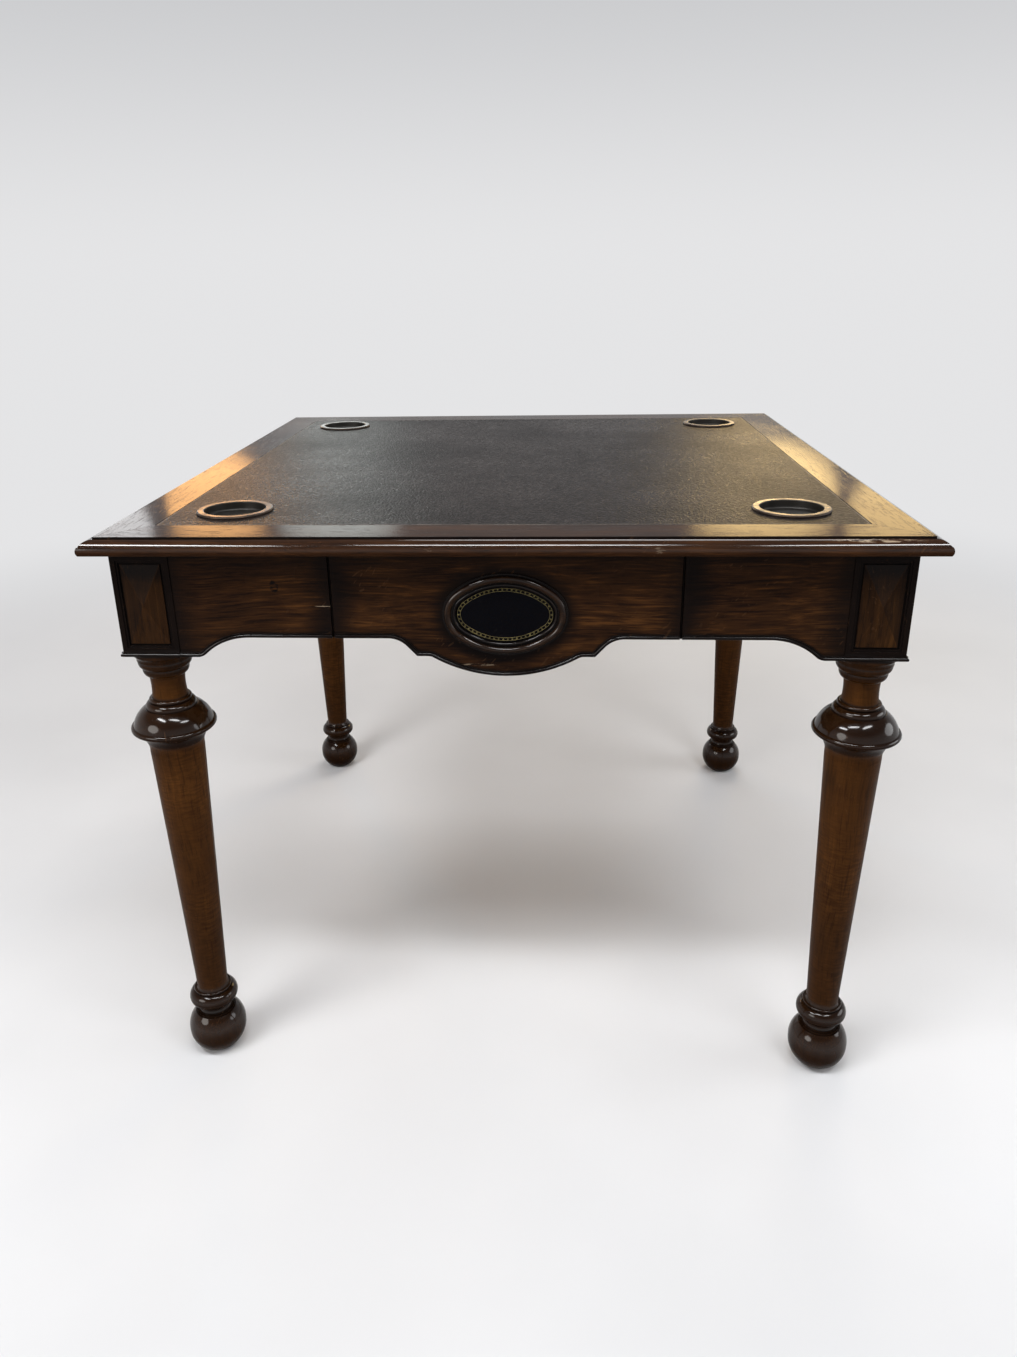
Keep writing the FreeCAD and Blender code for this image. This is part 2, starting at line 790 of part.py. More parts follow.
def oval_leather():
    body = new_body("OvalLeather")
    gap = size.oval_leather_gap
    outline = oval(size.oval_half_width - gap, size.oval_half_height - gap, size.oval_end_radius - gap)
    pad(body, sketch_on(body, "XZ_Plane", apron_face, outline), size.oval_leather_thickness)
    put(body, 0, 0, apron_flat + size.oval_rise)
    return body


# Top: mitred border boards round a core board, with a leather field let in flush

def border_board():
    """The front border board: its moulded section run along the front and mitred at both ends."""
    body = new_body("BorderBar")
    top = size.table_height
    flat_end = half_top - size.edge_moulding_width
    ovolo_top = top - size.edge_quirk_depth
    ovolo_bottom = ovolo_top - size.edge_ovolo_depth
    nose = half_top - size.edge_nose_width
    nose_round = bulge(size.edge_nose_width / (ovolo_bottom - border_bottom))
    section = [(-half_field, top), (-flat_end, top), (-flat_end, ovolo_top),
               (-(flat_end + size.edge_quirk_width), ovolo_top, bulge(size.edge_ovolo_share)),
               (-(nose - size.edge_fillet_width), ovolo_bottom),
               (-nose, ovolo_bottom, nose_round), (-nose, border_bottom),
               (-half_field, border_bottom)]
    pad(body, sketch_on(body, "YZ_Plane", -half_top, section), size.top_width)
    plan = new_body("BorderPlan")
    outline = [(-half_top, -half_top), (half_top, -half_top),
               (half_field, -half_field), (-half_field, -half_field)]
    pad(plan, sketch_on(plan, "XY_Plane", border_bottom, outline), size.border_thickness)
    return common("BorderBoard", body, plan)


def four_rods(name, radius, length, level):
    """Upright cylinders at the places of the four dishes."""
    first = rod(name, radius, length, -dish_place, -dish_place, level)
    return [first] + [turned(name + "_copy", [first], quarter) for quarter in range(1, 4)]


def core_board():
    """The core board with its tongue and the four pockets that the dishes drop into."""
    board = box("CoreBoard", (-half_field, half_field), (-half_field, half_field), (core_bottom, core_top))
    half_tongue = half_field + size.core_tongue_length
    tongue_top = core_top - size.core_tongue_drop
    tongue = box("CoreTongue", (-half_tongue, half_tongue), (-half_tongue, half_tongue),
                 (tongue_top - size.core_tongue_thickness, tongue_top))
    pocket_floor = dish_bottom - size.dish_floor_gap
    pockets = four_rods("DishPocket", dish_outer_radius + size.dish_hole_gap,
                        core_top + size.overrun - pocket_floor, pocket_floor)
    return cut("Core", fuse("CoreBlank", [board, tongue]), pockets)


def leather_field():
    half = half_field - size.leather_gap
    sheet_of_leather = box("LeatherSheet", (-half, half), (-half, half), (core_top, size.table_height))
    holes = four_rods("LeatherHole", dish_outer_radius + size.dish_hole_gap,
                      size.leather_thickness + size.overrun * 2, core_top - size.overrun)
    return cut("Leather", sheet_of_leather, holes)


def dish():
    """A shallow dish with a broad rounded flange, turned on its own axis and moved to its corner."""
    body = new_body("Dish")
    seat = size.table_height + size.dish_rest_gap
    rim = size.table_height + size.dish_flange_height
    floor = rim - size.dish_depth
    lip = size.dish_lip_width
    corner = size.dish_corner_radius
    outer = dish_outer_radius
    flange = size.dish_flange_radius
    bore = size.dish_bore_radius
    lip_round = bulge(size.dish_lip_share)
    outline = [(0, dish_bottom), (outer - corner, dish_bottom, bulge(size.quarter_round_share)),
               (outer, dish_bottom + corner), (outer, seat), (flange, seat, lip_round), (flange - lip, rim),
               (bore + lip, rim, lip_round), (bore, rim - lip),
               (bore, floor + corner, bulge(-size.quarter_round_share)), (bore - corner, floor), (0, floor)]
    revolve(body, sketch_on(body, "XZ_Plane", 0, outline))
    put(body, -dish_place, -dish_place, 0)
    return body


dish_bottom = size.table_height + size.dish_flange_height - size.dish_depth - size.dish_wall


# Frame inside the apron: rails, bearers that cross at half laps, runners and corner blocks

def rail(name, bottom, top):
    """A front rail that lies flat behind the apron, with a tenon at each end."""
    bar = box(name + "_bar", (-post_inner, post_inner), (-apron_back, -post_inner), (bottom, top))
    reach = post_inner + size.tenon_length
    tenon_face = apron_back - size.rail_tenon_inset
    tenons = box(name + "_tenons", (-reach, reach), (-tenon_face, -(tenon_face - size.rail_tenon_width)),
                 (bottom + size.rail_tenon_shoulder, top - size.rail_tenon_shoulder))
    return fuse(name, [bar, tenons])


def screw_row(name, radius, length, level):
    """Upright cylinders along the front, where the screws hold the top."""
    place = -(half_field + size.screw_inset)
    spacing = post_inner - size.screw_end_margin
    return [rod(name, radius, length, spacing * step, place, level) for step in (-1, 0, 1)]


bearer_middle = lower_rail_bottom + (core_bottom - lower_rail_bottom) / 2


def lap_cuts(name, low, high):
    """Blocks where a bearer that runs along X is crossed by the two that run along Y."""
    spans = ((-bearer_outer, -bearer_inner), (bearer_inner, bearer_outer))
    cross = (-(bearer_outer + size.overrun), -(bearer_inner - size.overrun))
    return [box(name, span, cross, (low, high)) for span in spans]


def bearer(name, laps):
    """The bearer behind the front drawer, from side rail to side rail, notched for the ones it crosses."""
    bar = box(name + "_bar", (-post_inner, post_inner), (-bearer_outer, -bearer_inner),
              (lower_rail_bottom, core_bottom))
    return cut(name, bar, laps)


def runners():
    """The two strips that the front drawer slides on."""
    run = (-post_inner, -bearer_outer)
    runner_inner = bearer_inner - size.runner_width
    spans = ((-bearer_inner, -runner_inner), (runner_inner, bearer_inner))
    return [box("Runner", span, run, (lower_rail_bottom, lower_rail_top)) for span in spans]


bolt_levels = [(lower_rail_bottom + border_bottom) / 2 + size.bolt_spacing / 2 * way for way in (-1, 1)]
diagonal_share = math.sqrt(0.5)
block_face = (size.block_length + size.block_end) * diagonal_share
DIAGONAL = (1, 1, 0)


def on_diagonal(distance):
    """The x and y of a point on the corner's diagonal, so far inwards of the post's inner corner."""
    return distance * diagonal_share - post_inner


def bolt_rods(name, radius, start, end):
    """Cylinders along the corner's diagonal at the levels of the leg bolts."""
    place = on_diagonal(start)
    return [rod(name, radius, end - start, place, place, level, DIAGONAL) for level in bolt_levels]


bolt_start = -(size.post_corner_flat * diagonal_share + size.bolt_grip)
bolt_stop = block_face + size.washer_thickness + size.nut_height + size.bolt_end


def corner_block():
    """The block that ties two rails together at the front left corner, drilled for the leg bolts."""
    body = new_body("BlockBlank")
    low = -post_inner
    long_end = low + size.block_length
    short_end = low + size.block_end
    flat_end = low + size.block_corner_flat
    outline = [(flat_end, low), (long_end, low), (long_end, short_end), (short_end, long_end),
               (low, long_end), (low, flat_end)]
    pad(body, sketch_on(body, "XY_Plane", lower_rail_bottom, outline), border_bottom - lower_rail_bottom)
    hole_radius = size.bolt_radius + size.bolt_hole_gap
    holes = bolt_rods("BlockHole", hole_radius, as_length(0), block_face + size.overrun)
    return cut("CornerBlock", body, holes)


def washers():
    rings = []
    place = on_diagonal(block_face)
    hole_radius = size.bolt_radius + size.hole_gap
    for level in bolt_levels:
        disc = rod("WasherDisc", size.washer_radius, size.washer_thickness, place, place, level, DIAGONAL)
        hole = rod("WasherHole", hole_radius, size.washer_thickness, place, place, level, DIAGONAL)
        rings.append(cut("Washer", disc, [hole]))
    return rings


def nuts():
    hexagons = []
    place = on_diagonal(block_face + size.washer_thickness)
    hole_radius = size.bolt_radius + size.hole_gap
    for level in bolt_levels:
        prism = doc.addObject("Part::Prism", "NutPrism")
        prism.Polygon = 6
        bind(prism, "Circumradius", size.nut_radius)
        bind(prism, "Height", size.nut_height)
        prism.Placement.Rotation = FreeCAD.Rotation(FreeCAD.Vector(0, 0, 1), FreeCAD.Vector(*DIAGONAL))
        put(prism, place, place, level)
        hole = rod("NutHole", hole_radius, size.nut_height, place, place, level, DIAGONAL)
        hexagons.append(cut("Nut", prism, [hole]))
    return hexagons


def top_screws():
    """Screws that come up through the front rail into the border board, heads sunk in the rail."""
    head_level = upper_rail_bottom + size.screw_sink - size.screw_head_height
    heads = screw_row("ScrewHead", size.screw_head_radius, size.screw_head_height, head_level)
    shank_level = upper_rail_bottom + size.screw_sink
    shank_length = border_bottom + size.screw_bite - shank_level
    shanks = screw_row("ScrewShank", size.screw_radius, shank_length, shank_level)
    return [fuse("Screw", [head, shank]) for head, shank in zip(heads, shanks)]


def screw_holes():
    """What the screws need cut out of the rail and the border."""
    hole_length = border_bottom + size.screw_bite + size.hole_gap - upper_rail_bottom
    holes = screw_row("ScrewHole", size.screw_radius + size.hole_gap, hole_length, upper_rail_bottom)
    recesses = screw_row("ScrewRecess", size.screw_recess_radius, size.screw_sink + size.overrun,
                         upper_rail_bottom - size.overrun)
    return holes + recesses


# Raised diamond panels on the two outer faces of each post

half_field_width = size.post_width / 2 - size.post_field_side_margin
field_low = post_bottom + size.post_field_bottom_margin
field_high = border_bottom - size.post_field_top_margin


def post_fields():
    """The sunk fields in the two outer faces of the front left post, each with a shallow step round it."""
    fields = []
    for margin, depth in ((0, size.post_field_depth), (size.post_step_width, size.post_step_depth)):
        half_width = half_field_width + margin
        across = (-(leg_place + half_width), -(leg_place - half_width))
        inwards = (-(half_apron + size.overrun), -(half_apron - depth))
        upright = (field_low - margin, field_high + margin)
        fields += [box("FieldFront", across, inwards, upright), box("FieldLeft", inwards, across, upright)]
    return fields


def diamond_panel():
    """The raised panel on the front face of the front left post: a thin slab with a four-sided point."""
    half_width = half_field_width - size.diamond_border
    half_height = (field_high - field_low) / 2 - size.diamond_border
    middle = (field_low + field_high) / 2
    floor = half_apron - size.post_field_depth
    slab_face = floor + size.diamond_edge
    slab = box("DiamondSlab", (-(leg_place + half_width), -(leg_place - half_width)), (-slab_face, -floor),
               (middle - half_height, middle + half_height))
    point = doc.addObject("Part::Wedge", "DiamondPoint")
    for name in ("X2min", "X2max", "Z2min", "Z2max", "Ymin"):
        bind(point, name, 0)
    for name, length in (("Xmin", -half_width), ("Xmax", half_width), ("Zmin", -half_height),
                         ("Zmax", half_height), ("Ymax", size.diamond_point)):
        bind(point, name, length)
    point.Placement.Rotation = FreeCAD.Rotation(FreeCAD.Vector(0, 0, 1), 180)
    put(point, -leg_place, -slab_face, middle)
    return fuse("Diamond", [slab, point])


# Assembly: the pieces of the front and of the front left corner, then their copies all round

core = node("top_core", core_board())
node("playing_leather", leather_field())
drilled = screw_holes()
on_each_side("top_border_{}", cut("BorderFront", border_board(), [core] + drilled))
front_dish = dish()
for quarter, corner in enumerate(CORNERS):
    node(f"dish_{corner}", turned(f"dish_{corner}", [front_dish], quarter))

upper_rail = cut("UpperRail", rail("UpperRailBlank", upper_rail_bottom, border_bottom), drilled)
lower_rail = rail("LowerRail", lower_rail_bottom, lower_rail_top)
all_round("upper_rails", [upper_rail])
all_round("lower_rails", [lower_rail])
long_bearer = bearer("LongBearer", lap_cuts("LongLap", bearer_middle, core_bottom + size.overrun))
cross_bearer = bearer("CrossBearer", lap_cuts("CrossLap", lower_rail_bottom - size.overrun, bearer_middle))
for side, piece in zip(SIDES, (long_bearer, cross_bearer) * 2):
    node(f"bearer_{side}", turned(f"bearer_{side}", [piece], SIDES.index(side)))
all_round("drawer_runners", runners())
all_round("top_screws", top_screws())

right_panel = end_panel()
left_panel = mirrored("EndPanelLeft", right_panel)
for quarter, side in enumerate(SIDES):
    next_side = SIDES[(quarter + 1) % 4]
    last_side = SIDES[quarter - 1]
    node(f"apron_{side}_{next_side}", turned(f"apron_{side}_{next_side}", [right_panel], quarter))
    node(f"apron_{side}_{last_side}", turned(f"apron_{side}_{last_side}", [left_panel], quarter))

left_side_joints = turned("LeftJoints", [upper_rail, lower_rail, right_panel], 3)
leg_holes = bolt_rods("LegHole", size.bolt_radius + size.hole_gap, bolt_start, as_length(0))
leg_joints = [upper_rail, lower_rail, left_panel, left_side_joints]
leg = cut("Leg", leg_blank(), leg_joints + post_fields() + leg_holes)
for quarter, corner in enumerate(CORNERS):
    node(f"leg_{corner}", turned(f"leg_{corner}", [leg], quarter))
front_diamond = diamond_panel()
left_diamond = turned("DiamondLeft", [mirrored("DiamondMirror", front_diamond)], 3)
all_round("post_diamonds", [front_diamond, left_diamond])
all_round("corner_blocks", [corner_block()])
all_round("leg_bolts", bolt_rods("LegBolt", size.bolt_radius, bolt_start, bolt_stop))
all_round("leg_bolt_washers", washers())
all_round("leg_bolt_nuts", nuts())

right_blank = drawer_side_blank()
left_blank = mirrored("DrawerSideLeft", right_blank)
back = drawer_back()
bottom = drawer_bottom()
sides = [cut("DrawerSideCut", blank, [back, bottom]) for blank in (right_blank, left_blank)]
front = cut("DrawerFrontCut", drawer_front_blank(), [right_blank, left_blank, bottom])
on_each_side("drawer_{}_front", front)
on_each_side("drawer_{}_sides", group("DrawerSides", sides))
on_each_side("drawer_{}_back", back)
on_each_side("drawer_{}_bottom", bottom)
on_each_side("drawer_{}_oval_moulding", oval_moulding())
on_each_side("drawer_{}_oval_leather", oval_leather())

doc.recompute()
for thing in doc.Objects:
    if "Invalid" in thing.State or "Error" in thing.State:
        raise RuntimeError(f"{thing.Name} ({thing.Label}) failed to build")
for thing in nodes:
    if thing.Shape.isNull() or not thing.Shape.isValid():
        raise RuntimeError(f"{thing.Label} has no valid shape")

os.makedirs("parts", exist_ok=True)
for thing in nodes:
    thing.Shape.exportStep(f"parts/{thing.Label}.step")
print(f"{len(nodes)} pieces written")
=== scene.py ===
"""Looks of a square games table, drawn round its packed construction model.

Dark lacquered wood with burnished edges, a leather playing field, four drop-in bronze dishes and, on each
drawer, an oval of black leather with a gilt tooled border.
"""

import math

import bpy
from mathutils import Matrix, Vector


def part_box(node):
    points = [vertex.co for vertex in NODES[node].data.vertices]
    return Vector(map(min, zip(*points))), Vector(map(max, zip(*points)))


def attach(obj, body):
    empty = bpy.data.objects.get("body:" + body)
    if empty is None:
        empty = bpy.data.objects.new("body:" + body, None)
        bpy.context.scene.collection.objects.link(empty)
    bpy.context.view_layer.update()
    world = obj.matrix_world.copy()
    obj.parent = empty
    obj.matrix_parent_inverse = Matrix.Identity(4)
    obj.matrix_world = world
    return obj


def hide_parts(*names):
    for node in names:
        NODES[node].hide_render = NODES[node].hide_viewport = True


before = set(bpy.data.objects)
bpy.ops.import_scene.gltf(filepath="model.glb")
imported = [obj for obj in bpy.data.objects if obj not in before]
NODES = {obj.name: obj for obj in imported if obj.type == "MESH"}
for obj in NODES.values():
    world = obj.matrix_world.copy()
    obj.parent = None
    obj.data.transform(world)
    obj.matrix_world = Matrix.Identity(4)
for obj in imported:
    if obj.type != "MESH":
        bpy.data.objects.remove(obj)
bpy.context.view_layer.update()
scene = bpy.context.scene

SIDES = ("front", "right", "back", "left")
CORNERS = ("front_left", "front_right", "back_right", "back_left")
QUARTER_TURN = math.pi / 2


# Drawing node trees

# The sockets of a mix node that are for colours
MIX_SHARE, MIX_FIRST, MIX_SECOND, MIX_RESULT = 0, 6, 7, 2


class Tree:
    """A node tree under construction. A value that is a socket is linked, any other value is set.
    A colour is red, green and blue."""

    def __init__(self, tree):
        self.tree = tree

    def feed(self, socket, value):
        if isinstance(value, bpy.types.NodeSocket):
            self.tree.links.new(value, socket)
        elif value is not None:
            socket.default_value = (*value, 1.0) if socket.type == "RGBA" else value

    def node(self, kind, values=None, **settings):
        made = self.tree.nodes.new(kind)
        for name, value in settings.items():
            setattr(made, name, value)
        for name, value in (values or {}).items():
            self.feed(made.inputs[name], value)
        return made

    def result(self, kind, values=None, **settings):
        """The first output of a new node."""
        return self.node(kind, values, **settings).outputs[0]

    def maths(self, operation, first, second=None, third=None, clamp=False):
        made = self.node("ShaderNodeMath", operation=operation, use_clamp=clamp)
        for socket, value in zip(made.inputs, (first, second, third)):
            self.feed(socket, value)
        return made.outputs[0]

    def plus(self, first, second):
        return self.maths("ADD", first, second)

    def minus(self, first, second, clamp=False):
        return self.maths("SUBTRACT", first, second, clamp=clamp)

    def times(self, first, second, clamp=False):
        return self.maths("MULTIPLY", first, second, clamp=clamp)

    def times_plus(self, first, second, third):
        return self.maths("MULTIPLY_ADD", first, second, third)

    def unsigned(self, value):
        return self.maths("ABSOLUTE", value)

    def largest(self, first, *others):
        for other in others:
            first = self.maths("MAXIMUM", first, other)
        return first

    def vector(self, operation, first, second=None):
        made = self.node("ShaderNodeVectorMath", operation=operation)
        self.feed(made.inputs[0], first)
        self.feed(made.inputs[1], second)
        return made.outputs["Value" if operation in ("DOT_PRODUCT", "LENGTH") else "Vector"]

    def split(self, vector):
        return self.node("ShaderNodeSeparateXYZ", {"Vector": vector}).outputs

    def joined(self, x, y, z):
        return self.result("ShaderNodeCombineXYZ", {"X": x, "Y": y, "Z": z})

    def drawn_out(self, vector, share):
        """Coordinates that draw a pattern out along X, of which only this share counts."""
        return self.vector("MULTIPLY", vector, (share, 1.0, 1.0))

    def step(self, value, low, high, first=0.0, last=1.0):
        """Goes smoothly from first to last while value goes from low to high."""
        made = self.node("ShaderNodeMapRange", interpolation_type="SMOOTHSTEP")
        for socket, setting in zip(made.inputs, (value, low, high, first, last)):
            self.feed(socket, setting)
        return made.outputs["Result"]

    def mix(self, share, first, second):
        made = self.node("ShaderNodeMix", data_type="RGBA")
        self.feed(made.inputs[MIX_SHARE], share)
        self.feed(made.inputs[MIX_FIRST], first)
        self.feed(made.inputs[MIX_SECOND], second)
        return made.outputs[MIX_RESULT]

    def noise(self, vector, scale, detail=2.0, roughness=0.5, distortion=0.0):
        return self.result("ShaderNodeTexNoise", {"Vector": vector, "Scale": scale, "Detail": detail,
                                                  "Roughness": roughness, "Distortion": distortion})

    def sway(self, vector, scale):
        """Noise that is different in each of three directions."""
        made = self.node("ShaderNodeTexNoise", {"Vector": vector, "Scale": scale, "Detail": 2.0})
        return made.outputs["Color"]

    def cells(self, vector, scale, feature="F1"):
        made = self.node("ShaderNodeTexVoronoi", {"Vector": vector, "Scale": scale}, feature=feature)
        return made.outputs

    def bump(self, height, distance, strength=1.0, normal=None):
        return self.result("ShaderNodeBump", {"Height": height, "Distance": distance, "Strength": strength,
                                              "Normal": normal})

    def place(self):
        """Where a point lies on the table, in metres from the middle of the floor under it."""
        return self.node("ShaderNodeTexCoord").outputs["Object"]

    def group(self, tree, **values):
        made = self.node("ShaderNodeGroup", node_tree=tree)
        for name, value in values.items():
            self.feed(made.inputs[name.replace("_", " ").title()], value)
        return made.outputs


SOCKETS = {"value": "NodeSocketFloat", "vector": "NodeSocketVector", "colour": "NodeSocketColor",
           "count": "NodeSocketInt", "shape": "NodeSocketGeometry", "finish": "NodeSocketMaterial"}


def node_group(name, inputs, outputs, kind="ShaderNodeTree"):
    """A new node group with these named sockets, as (its tree, its inputs, a function that sets its outputs
    and gives the group)."""
    group = bpy.data.node_groups.new(name, kind)
    for way, titles in (("INPUT", inputs), ("OUTPUT", outputs)):
        for title, socket in titles.items():
            group.interface.new_socket(title, in_out=way, socket_type=SOCKETS[socket])
    tree = Tree(group)
    given = group.nodes.new("NodeGroupInput").outputs
    wanted = group.nodes.new("NodeGroupOutput").inputs

    def finish(**values):
        for title, value in values.items():
            tree.feed(wanted[title.title()], value)
        return group

    return tree, given, finish


# Effects shared by several finishes

NO_JOINT = 9.0  # a place past the end of every board, for boards that are not cut up
PANEL_CUT, ACROSS_CUT, FLANK_CUT = 2.3, 1.7, 3.1  # how far apart in the log the lengths were cut
CORNER_CUT_X, CORNER_CUT_Y = 1.9, 3.3
HOLES_PER_METRE = 75.0


def board_lie():
    """Coordinates along, across and up the board at a place. The boards of a side run along it and meet on
    the diagonals, and its two panels and its drawer are cut from different lengths."""
    tree, given, finish = node_group("board_lie", {"Place": "vector", "Panel Joint": "value"},
                                     {"Vector": "vector", "Along": "value"})
    x, y, z = tree.split(given["Place"])
    on_flank = tree.maths("GREATER_THAN", tree.unsigned(x), tree.unsigned(y))
    along = tree.plus(x, tree.times(on_flank, tree.minus(y, x)))
    across = tree.plus(y, tree.times(on_flank, tree.minus(x, y)))
    past_joint = tree.maths("GREATER_THAN", tree.unsigned(along), given["Panel Joint"])
    cut = tree.times(past_joint, tree.maths("SIGN", along))
    cut = tree.times_plus(tree.maths("SIGN", across), ACROSS_CUT, tree.times(cut, PANEL_CUT))
    cut = tree.times_plus(on_flank, FLANK_CUT, cut)
    return finish(vector=tree.joined(tree.plus(along, cut), across, z), along=along)


def wood_figure():
    """Straight-grained wood whose fibres run along X of its coordinates: bands, streaks, pores and a cloudy
    stain."""
    tree, given, finish = node_group(
        "wood_figure", {"Vector": "vector", "Light": "colour", "Middle": "colour", "Dark": "colour",
                        "Streak": "value", "Contrast": "value"},
        {"Colour": "colour", "Height": "value", "Cloud": "value"})
    sway = tree.vector("SUBTRACT", tree.sway(given["Vector"], 4.0), (0.5, 0.5, 0.5))
    sway = tree.vector("MULTIPLY", sway, (0.0, 0.03, 0.03))
    lie = tree.vector("ADD", given["Vector"], sway)
    frequency = tree.maths("DIVIDE", 1.0, given["Streak"])
    streaks = tree.noise(tree.drawn_out(lie, 0.045), frequency, 5.0, 0.65, 0.2)
    bands = tree.noise(tree.drawn_out(lie, 0.14), tree.times(frequency, 0.27), 3.0, 0.5, 0.6)
    fibres = tree.noise(tree.drawn_out(lie, 0.03), 700.0, 3.0, 0.6)
    pores = tree.noise(tree.drawn_out(lie, 0.05), 480.0, 1.0, 0.5)
    pores = tree.step(pores, 0.6, 0.7)
    cloud = tree.noise(given["Vector"], 7.0, 3.0, 0.55)
    tone = tree.times_plus(streaks, 0.46, tree.times(bands, 0.3))
    tone = tree.times_plus(fibres, 0.24, tone)
    tone = tree.times(tree.minus(tone, 0.5), given["Contrast"])
    tone = tree.times_plus(tree.minus(cloud, 0.5), 0.45, tone)
    colour = tree.mix(tree.step(tone, -0.17, 0.02), given["Dark"], given["Middle"])
    colour = tree.mix(tree.step(tone, 0.0, 0.2), colour, given["Light"])
    colour = tree.mix(tree.times(pores, 0.55), colour, given["Dark"])
    height = tree.times_plus(pores, -0.7, tree.times(fibres, 0.3))
    return finish(colour=colour, height=height, cloud=cloud)


def edge_rubbing():
    """How much the finish is rubbed on an outer edge, and the normal of the edge as it is eased over."""
    tree, given, finish = node_group(
        "edge_rubbing", {"Place": "vector", "Radius": "value", "Amount": "value"},
        {"Rubbed": "value", "Normal": "vector"})
    eased = tree.result("ShaderNodeBevel", {"Radius": given["Radius"]}, samples=6)
    face = tree.node("ShaderNodeNewGeometry").outputs["Normal"]
    turn = tree.minus(1.0, tree.vector("DOT_PRODUCT", eased, face))
    open_air = tree.node("ShaderNodeAmbientOcclusion", {"Distance": 0.004}, samples=4).outputs["AO"]
    chance = tree.step(tree.noise(given["Place"], 55.0, 4.0, 0.65), 0.45, 0.68)
    rubbed = tree.times(tree.step(turn, 0.02, 0.2), tree.step(open_air, 0.75, 0.95))
    rubbed = tree.times(tree.times(rubbed, chance), given["Amount"], clamp=True)
    return finish(rubbed=rubbed, normal=eased)


def recess_grime():
    """How deep a place lies in a corner, a groove or a joint, where polish and dirt have gathered and where
    the finishes paint in shade.
    """
    tree, given, finish = node_group("recess_grime", {"Place": "vector", "Reach": "value"},
                                     {"Grime": "value"})
    shut = tree.node("ShaderNodeAmbientOcclusion", {"Distance": given["Reach"]}, samples=6).outputs["AO"]
    patchy = tree.step(tree.noise(given["Place"], 30.0, 3.0), 0.25, 0.75, 0.75, 1.0)
    return finish(grime=tree.times(tree.step(shut, 0.95, 0.45), patchy))


def fine_scratches():
    """Hair-fine scratches in two directions, thinned out in patches."""
    tree, given, finish = node_group("fine_scratches", {"Vector": "vector"}, {"Scratch": "value"})
    marks = []
    for turn, stretch in ((0.5, 0.012), (-0.9, 0.02)):
        lie = tree.result("ShaderNodeMapping", {"Vector": given["Vector"], "Rotation": (turn, 0.4, turn)})
        lines = tree.noise(tree.drawn_out(lie, stretch), 260.0, 1.0, 0.4)
        marks.append(tree.step(lines, 0.7, 0.76))
    patches = tree.step(tree.noise(given["Vector"], 9.0, 2.0), 0.48, 0.62)
    return finish(scratch=tree.times(tree.largest(*marks), patches))


def worm_holes():
    """A few old worm holes and dents, each a small dark dot."""
    tree, given, finish = node_group("worm_holes", {"Place": "vector", "Share": "value"}, {"Hole": "value"})
    cells = tree.cells(given["Place"], HOLES_PER_METRE)
    chosen = tree.maths("LESS_THAN", tree.split(cells["Color"])[0], given["Share"])
    return finish(hole=tree.times(tree.step(cells["Distance"], 0.085, 0.05), chosen))


def leather_pebble():
    """Fine pebbled leather grain with faint creases, specks a few pebbles wide for a painted sheen, and
    clouds.
    """
    tree, given, finish = node_group("leather_pebble", {"Place": "vector", "Scale": "value"},
                                     {"Height": "value", "Speck": "value", "Cloud": "value"})
    sway = tree.vector("MULTIPLY", tree.sway(given["Place"], 300.0), (0.0012, 0.0012, 0.0012))
    lie = tree.vector("ADD", given["Place"], sway)
    pebble = tree.cells(lie, given["Scale"], "SMOOTH_F1")["Distance"]
    crease = tree.step(tree.noise(given["Place"], 160.0, 3.0, 0.6, 0.8), 0.35, 0.65)
    height = tree.times_plus(crease, 0.06, tree.minus(1.0, pebble))
    speck = tree.noise(given["Place"], tree.times(given["Scale"], 0.5), 3.0, 0.75)
    return finish(height=height, speck=speck, cloud=tree.noise(given["Place"], 5.0, 4.0, 0.6))


BOARD_LIE = board_lie()
WOOD_FIGURE = wood_figure()
EDGE_RUBBING = edge_rubbing()
RECESS_GRIME_AND_SHADE = recess_grime()
FINE_SCRATCHES = fine_scratches()
WORM_HOLES = worm_holes()
LEATHER_PEBBLE = leather_pebble()


# Finishes

# near black, for black lacquer and worm holes, and as painted shade in corners, grooves and joints
BLACK_AND_SHADE = (0.0035, 0.0025, 0.0024)
SCORCHED = (0.0062, 0.0024, 0.0011)
RUBBED_WOOD = (0.11, 0.052, 0.021)
BARE_WOOD = (0.38, 0.29, 0.2)
DUST_AND_SHADE_WOOD = (0.06, 0.04, 0.025)
SCRATCHED_LEATHER = (0.11, 0.09, 0.07)
# a painted highlight along the edge of the playing leather takes this colour
EDGE_HIGHLIGHT_LEATHER = (0.15, 0.128, 0.108)
HOLLOW_DARK, HOLLOW_LIGHT = (0.013, 0.0115, 0.0095), (0.036, 0.032, 0.026)

DRAWER_JOINT = (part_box("drawer_front_front")[1].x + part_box("apron_front_right")[0].x) / 2
DIAMOND_HALF = 0.0235  # half the width of a raised panel on a post
OVAL_END_RADIUS = 0.0217  # of the oval leather on a drawer

# Where a finish changes, from the first place to the second, as levels on a leg
FOOT_TOP = (0.118, 0.1)
SHAFT_DARKENING = (0.44, 0.13)
BULB_BOTTOM, BULB_TOP = (0.484, 0.492), (0.552, 0.545)
COLLAR_BOTTOM, POST_BOTTOM, POST_BEAD_TOP = (0.574, 0.584), (0.604, 0.612), (0.62, 0.6185)
# The same on the apron, from the middle of its side, the floor or the oval leather
JOINT_SHADE, POST_SHADE = (0.04, 0.0), (0.345, 0.392)
# TOP_SHADE bounds the painted shadow under the top
TOP_SHADE = (0.7, 0.745)
OVAL_SHADE = (0.036, 0.016)
BEAD_FACE = (0.4562, 0.4566)
